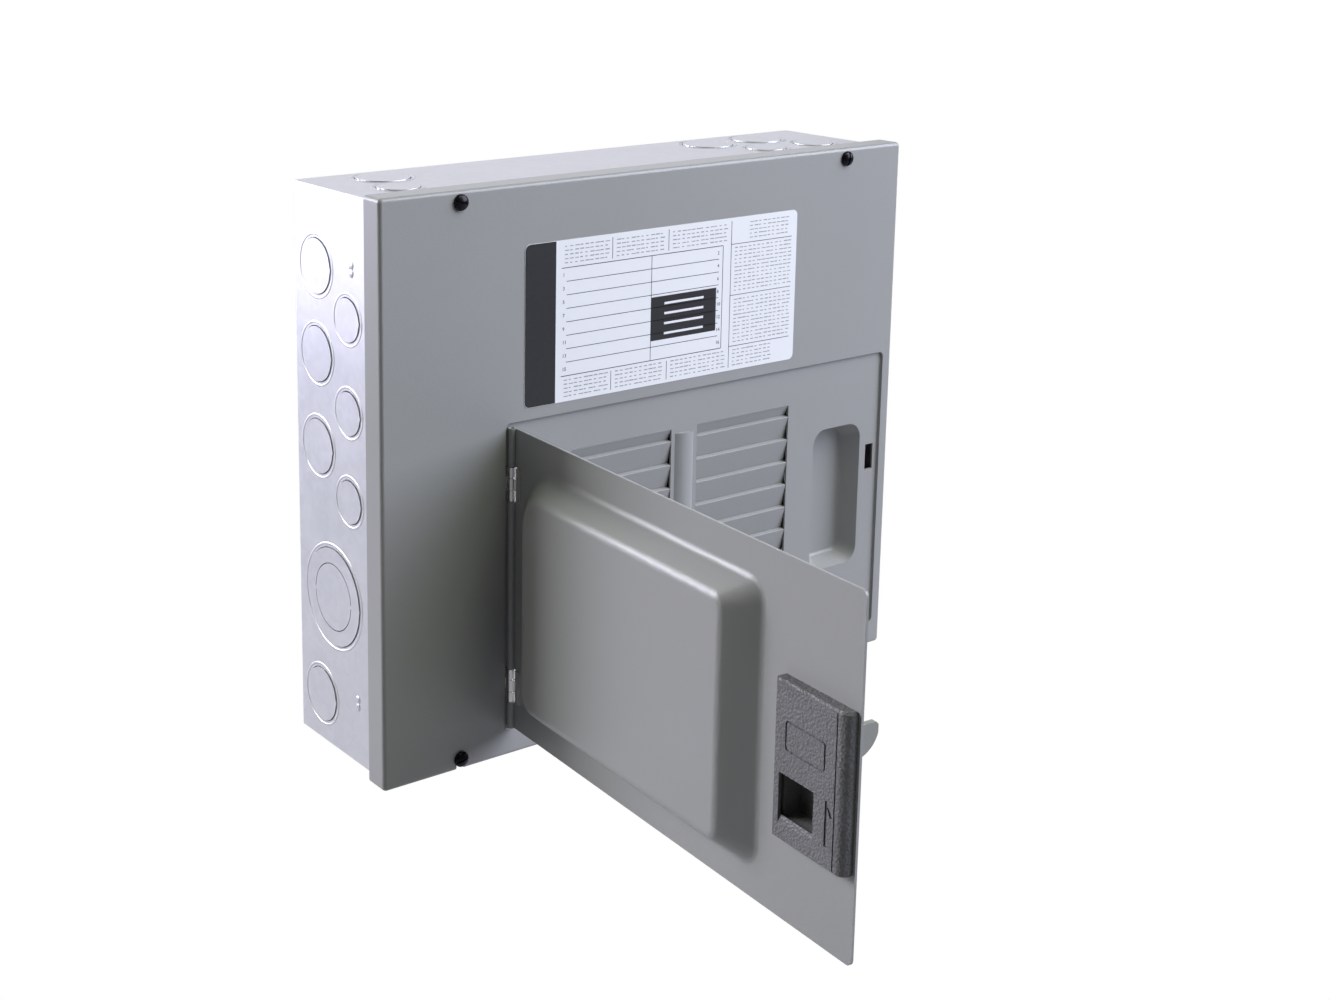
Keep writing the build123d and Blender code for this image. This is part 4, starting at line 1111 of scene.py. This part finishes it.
class LOADCENTER_OT_label(bpy.types.Operator):
    """Makes the circuit directory on the cover: paper, ruled rows and blank printed blocks"""

    bl_idname = "loadcenter.label"
    bl_label = "Make the directory label"

    def printed(self, name, shape, finish):
        """Shows what is drawn in an open bmesh as a printed piece of the label."""
        finished(name, mesh_of(shape, name), material_named(finish), "cover", "label")

    def place(self, x, z, out=0):
        """A place on the label, or this far out from it, in millimetres from its lower left."""
        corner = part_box("directory_label")[0]
        return corner + Vector((x, -out, z)) * MM

    def patch(self, shape, area, thickness=INK):
        """A printed rectangle."""
        left, bottom, right, top = area
        block(shape, self.place(left, bottom, thickness), self.place(right, top, -INK))

    def rounded_band(self, shape, right, top):
        """The dark band at the label's left, with its two left corners rounded."""
        outline = [(right, LABEL_EDGE), (right, top)]
        for centre_z, first in ((top - BAND_CORNER, 90), (LABEL_EDGE + BAND_CORNER, 180)):
            for step in range(7):
                turn = math.radians(first + 15 * step)
                x = LABEL_EDGE + BAND_CORNER + BAND_CORNER * math.cos(turn)
                outline.append((x, centre_z + BAND_CORNER * math.sin(turn)))
        near, far = [[self.place(x, z, out) for x, z in outline] for out in (INK, -INK)]
        prism(shape, near, far)

    def figure(self, shape, text, left, middle):
        """A small printed number, its middle height at this place."""
        curve = bpy.data.curves.new("figure", "FONT")
        curve.body = text
        curve.size = NUMBER_SIZE * MM
        curve.extrude = INK * MM
        curve.resolution_u = 2
        curve.align_y = "CENTER"
        holder = loose_object("figure", curve)
        mesh = evaluated_mesh(holder)
        bpy.data.objects.remove(holder)
        bpy.data.curves.remove(curve)
        mesh.transform(Matrix.Translation(self.place(left, middle)) @ FACE_MATRIX)
        shape.from_mesh(mesh)
        bpy.data.meshes.remove(mesh)

    def execute(self, context):
        low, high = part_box("directory_label")
        rows = context.scene.loadcenter_label.rows
        dress("directory_label", material_named("label_paper"))

        shape = bmesh.new()
        self.rounded_band(shape, BAND_RIGHT, (high.z - low.z) / MM - LABEL_EDGE)
        self.patch(shape, BLACK_BLOCK)
        self.printed("label_blocks", shape, "label_ink")

        # The frame of the directory, the cells above and below it, and the notes at the right.
        shape = bmesh.new()
        for line in FRAME_LINES:
            self.patch(shape, line)
        self.printed("label_frames", shape, "label_ink")

        # White bars across the black block.
        shape = bmesh.new()
        left, bottom, right, top = BLOCK_BAR
        for index in range(BLOCK_BARS):
            rise = BLOCK_BAR_PITCH * index
            self.patch(shape, (left, bottom + rise, right, top + rise), WHITE_INK)
        self.printed("label_block_bars", shape, "label_paper")

        # The rulings between the rows.
        pitch = (TABLE_TOP - TABLE_BOTTOM) / (rows + 1)
        first = TABLE_TOP - pitch
        shape = bmesh.new()
        self.patch(shape, (RULING_LEFT, first, RULING_RIGHT, first + RULING_WIDTH))
        mesh = copies_by_nodes(
            "label_rulings", ladder_tree(), mesh_of(shape, "ruling"),
            {"Count": rows, "Pitch": (0.0, 0.0, -pitch * MM),
             "Finish": material_named("label_ink")},
        )
        finished("label_rulings", mesh, None, "cover", "label")

        # Notes: rows of short bars, of several lengths, that stand for small print.
        places = []
        for left, right, bottom, top in SMALL_PRINT_AREAS:
            line = bottom
            while line < top:
                at = left + WORD_INDENT
                while at < right - WORD_MARGIN:
                    places.append(self.place(at, line))
                    at += WORD_PITCH
                line += WORD_LINE_PITCH
        shape = bmesh.new()
        block(shape, (0, -INK * MM, 0), (WORD_BAR_LENGTH * MM, INK * MM, WORD_BAR_WIDTH * MM))
        mesh = copies_by_nodes(
            "label_small_print", places_tree(), mesh_of(shape, "word_bar"),
            {"Largest turn": (0.0, 0.0, 0.0), "Seed": 21, "Smallest size": (0.55, 1.0, 0.8),
             "Largest size": (1.5, 1.0, 1.15), "Finish": material_named("label_grey_ink")}, places,
        )
        finished("label_small_print", mesh, None, "cover", "label")

        # Circuit numbers beside the rows.
        shape = bmesh.new()
        for row in range(rows + 1):
            middle = TABLE_TOP - pitch * (row + 0.5)
            self.figure(shape, str(2 * row + 1), ODD_NUMBERS_LEFT, middle)
            self.figure(shape, str(2 * row + 2), EVEN_NUMBERS_LEFT, middle)
        bmesh.ops.remove_doubles(shape, verts=shape.verts, dist=MERGE_REACH)
        bmesh.ops.recalc_face_normals(shape, faces=shape.faces)
        self.printed("label_numbers", shape, "label_ink")
        return {"FINISHED"}


class LOADCENTER_OT_hinges(bpy.types.Operator):
    """Makes the zinc-plated hinges"""

    bl_idname = "loadcenter.hinges"
    bl_label = "Make the hinges"

    def execute(self, context):
        plate = material_named("hinge_zinc_plate")
        for word in ("upper", "lower"):
            for part, body in (("leaf", "cover"), ("pin", "cover"), ("clip", "door")):
                node = f"{word}_hinge_{part}"
                smooth_copy(node, node + "_plated", plate, body, "hinge_zinc")
        return {"FINISHED"}


class LOADCENTER_OT_door(bpy.types.Operator):
    """Makes the door, pressed from painted sheet"""

    bl_idname = "loadcenter.door"
    bl_label = "Make the door"

    def execute(self, context):
        smooth_copy("door_panel", "pressed_door", material_named("door_coat"), "door", "door_paint")
        return {"FINISHED"}


class LOADCENTER_OT_latch(bpy.types.Operator):
    """Makes the latch: bezel, retainer, slider, hook and spring"""

    bl_idname = "loadcenter.latch"
    bl_label = "Make the latch"

    def execute(self, context):
        for node, name, finish, body, slot in (
            ("latch_bezel", "grained_bezel", "bezel_finish", "door", "bezel_plastic"),
            ("latch_retainer", "moulded_retainer", "retainer_finish", "door", "retainer_plastic"),
            ("latch_slider", "moulded_slider", "slider_finish", "latch", "slider_plastic"),
            ("latch_hook", "moulded_hook", "hook_finish", "latch", "hook_plastic"),
        ):
            smooth_copy(node, name, material_named(finish), body, slot)
        dress("latch_spring", material_named("spring_wire"))
        return {"FINISHED"}


class LOADCENTER_OT_stage(bpy.types.Operator):
    """Makes the floor, the room, the lights and the camera"""

    bl_idname = "loadcenter.stage"
    bl_label = "Make the stage"

    def make_floor(self, scene):
        """A matt floor that looks plain white in the picture."""
        material = new_material("pale_floor")
        nodes, links = material.node_tree.nodes, material.node_tree.links
        ray = nodes.new("ShaderNodeLightPath")
        ray.label = "Seen or lighting"
        matt = nodes.new("ShaderNodeBsdfDiffuse")
        matt.label = "Matt floor"
        white = nodes.new("ShaderNodeEmission")
        white.label = "Washed-out floor"
        either = nodes.new("ShaderNodeMixShader")
        either.label = "Floor"
        output = nodes.new("ShaderNodeOutputMaterial")
        output.label = "Finish"
        for node, spot in (
            (ray, (-400, 220)), (matt, (-400, 0)), (white, (-400, -160)), (either, (-160, 60)),
            (output, (60, 60)),
        ):
            node.location = spot
        frame_nodes(material.node_tree, "Seen white, lights softly", (ray, matt, white, either))
        matt.inputs["Color"].default_value = (0.35, 0.35, 0.35, 1)
        white.inputs["Color"].default_value = (1, 1, 1, 1)
        links.new(ray.outputs["Is Camera Ray"], either.inputs["Fac"])
        links.new(matt.outputs["BSDF"], either.inputs[1])
        links.new(white.outputs["Emission"], either.inputs[2])
        links.new(either.outputs["Shader"], output.inputs["Surface"])
        shape = bmesh.new()
        bmesh.ops.create_grid(shape, x_segments=2, y_segments=2, size=FLOOR_HALF_SIZE)
        bmesh.ops.translate(shape, verts=shape.verts, vec=(0, 0, FLOOR_LEVEL))
        mesh = mesh_of(shape, "floor")
        mesh.materials.append(material)
        floor = bpy.data.objects.new("floor", mesh)
        scene.collection.objects.link(floor)

    def make_room(self, scene, fill):
        """A white backdrop to the camera, and a faint even light to everything else."""
        world = bpy.data.worlds.new("white_room")
        scene.world = world
        world.use_nodes = True
        nodes, links = world.node_tree.nodes, world.node_tree.links
        nodes.clear()
        ray = nodes.new("ShaderNodeLightPath")
        ray.label = "Seen or lighting"
        lit = nodes.new("ShaderNodeBackground")
        lit.label = "Fill"
        seen = nodes.new("ShaderNodeBackground")
        seen.label = "White backdrop"
        either = nodes.new("ShaderNodeMixShader")
        either.label = "Room"
        output = nodes.new("ShaderNodeOutputWorld")
        output.label = "World"
        for node, spot in (
            (ray, (-400, 200)), (lit, (-400, 0)), (seen, (-400, -160)), (either, (-160, 60)),
            (output, (60, 60)),
        ):
            node.location = spot
        frame_nodes(world.node_tree, "Seen white, lights softly", (ray, lit, seen, either))
        lit.inputs["Color"].default_value = (0.98, 1.0, 0.94, 1)
        lit.inputs["Strength"].default_value = fill
        seen.inputs["Color"].default_value = (1, 1, 1, 1)
        seen.inputs["Strength"].default_value = 1.02
        links.new(ray.outputs["Is Camera Ray"], either.inputs["Fac"])
        links.new(lit.outputs["Background"], either.inputs[1])
        links.new(seen.outputs["Background"], either.inputs[2])
        links.new(either.outputs["Shader"], output.inputs["Surface"])

    def make_lights(self, scene, settings):
        """Square lights round the object, each turned towards its middle."""
        rear = settings.rear_power
        low_rear = rear * LOW_REAR_LIGHT_SHARE
        for name, place, size, power, colour in (
            ("key_light", (1.4, -1.2, 1.0), 1.7, settings.key_power, (0.80, 0.82, 1.0)),
            ("high_light", (0.3, -0.9, 1.7), 1.0, settings.high_power, (0.92, 1.0, 0.80)),
            ("rear_light", (-1.3, 1.2, 0.75), 1.0, rear, (0.92, 0.92, 1.0)),
            ("left_light", (-1.6, 0.8, 0.5), 1.0, rear * LEFT_LIGHT_SHARE, (1.0, 1.0, 0.8)),
            ("low_rear_light", (-1.0, 1.6, 0.25), 1.0, low_rear, (0.70, 0.68, 1.0)),
            ("backdrop_light", (0.6, 2.3, 0.6), 3.4, settings.backdrop_power, (0.92, 0.90, 1.0)),
        ):
            light = bpy.data.lights.new(name, "AREA")
            light.size = size
            light.energy = power
            light.color = colour
            lamp = bpy.data.objects.new(name, light)
            lamp.location = place
            towards = LIGHT_TARGET - Vector(place)
            lamp.rotation_euler = towards.to_track_quat("-Z", "Y").to_euler()
            lamp.visible_camera = False
            scene.collection.objects.link(lamp)

    def make_camera(self, scene):
        """The camera, slightly above the object's middle and to its left."""
        aim = Vector(
            (
                math.sin(CAMERA_YAW) * math.cos(CAMERA_PITCH),
                math.cos(CAMERA_YAW) * math.cos(CAMERA_PITCH),
                math.sin(CAMERA_PITCH),
            )
        )
        lens = bpy.data.cameras.new("camera")
        lens.lens = CAMERA_LENS
        lens.sensor_width = 36
        lens.shift_x, lens.shift_y = CAMERA_SHIFT
        lens.clip_start = 0.01
        camera = bpy.data.objects.new("camera", lens)
        camera.location = CAMERA_PLACE
        camera.rotation_euler = aim.to_track_quat("-Z", "Y").to_euler()
        scene.collection.objects.link(camera)
        scene.camera = camera

    def execute(self, context):
        scene = context.scene
        settings = scene.loadcenter_stage
        self.make_floor(scene)
        self.make_room(scene, settings.fill)
        self.make_lights(scene, settings)
        self.make_camera(scene)
        scene.view_settings.view_transform = "Standard"
        scene.view_settings.look = "None"
        return {"FINISHED"}


class LOADCENTER_PT_panel(bpy.types.Panel):
    """Lists the steps that build the load center's looks"""

    bl_label = "Load Center"
    bl_idname = "LOADCENTER_PT_panel"
    bl_space_type = "VIEW_3D"
    bl_region_type = "UI"
    bl_category = "Load Center"

    def draw(self, context):
        layout = self.layout
        for group, operators in STEPS:
            box = layout.box()
            if group is not None:
                settings = getattr(context.scene, group)
                for key in settings.bl_rna.properties.keys():
                    if key not in ("rna_type", "name"):
                        box.prop(settings, key)
            for operator in operators:
                box.operator(operator.bl_idname)


# Each group of settings, or None, with the operators listed under it in the panel.
STEPS = (
    (
        "loadcenter_sheet",
        (LOADCENTER_OT_finishes, LOADCENTER_OT_box, LOADCENTER_OT_cover, LOADCENTER_OT_door),
    ),
    (None, (LOADCENTER_OT_interior, LOADCENTER_OT_screws, LOADCENTER_OT_hinges)),
    ("loadcenter_strips", (LOADCENTER_OT_twistouts,)),
    ("loadcenter_label", (LOADCENTER_OT_label,)),
    ("loadcenter_latch", (LOADCENTER_OT_latch,)),
    ("loadcenter_stage", (LOADCENTER_OT_stage,)),
)
SETTINGS = {
    "loadcenter_sheet": SheetSettings,
    "loadcenter_strips": StripSettings,
    "loadcenter_label": LabelSettings,
    "loadcenter_latch": LatchSettings,
    "loadcenter_stage": StageSettings,
}


def register():
    for name, group in SETTINGS.items():
        bpy.utils.register_class(group)
        setattr(bpy.types.Scene, name, bpy.props.PointerProperty(type=group))
    for _, operators in STEPS:
        for operator in operators:
            bpy.utils.register_class(operator)
    bpy.utils.register_class(LOADCENTER_PT_panel)


def unregister():
    bpy.utils.unregister_class(LOADCENTER_PT_panel)
    for _, operators in STEPS:
        for operator in operators:
            bpy.utils.unregister_class(operator)
    for name, group in SETTINGS.items():
        delattr(bpy.types.Scene, name)
        bpy.utils.unregister_class(group)


def main():
    """Builds the whole model."""
    register()
    bpy.ops.loadcenter.finishes()
    bpy.ops.loadcenter.box()
    bpy.ops.loadcenter.interior()
    bpy.ops.loadcenter.screws()
    bpy.ops.loadcenter.cover()
    bpy.ops.loadcenter.twistouts()
    bpy.ops.loadcenter.label()
    bpy.ops.loadcenter.hinges()
    bpy.ops.loadcenter.door()
    bpy.ops.loadcenter.latch()
    bpy.ops.loadcenter.stage()


if __name__ == "__main__":
    main()
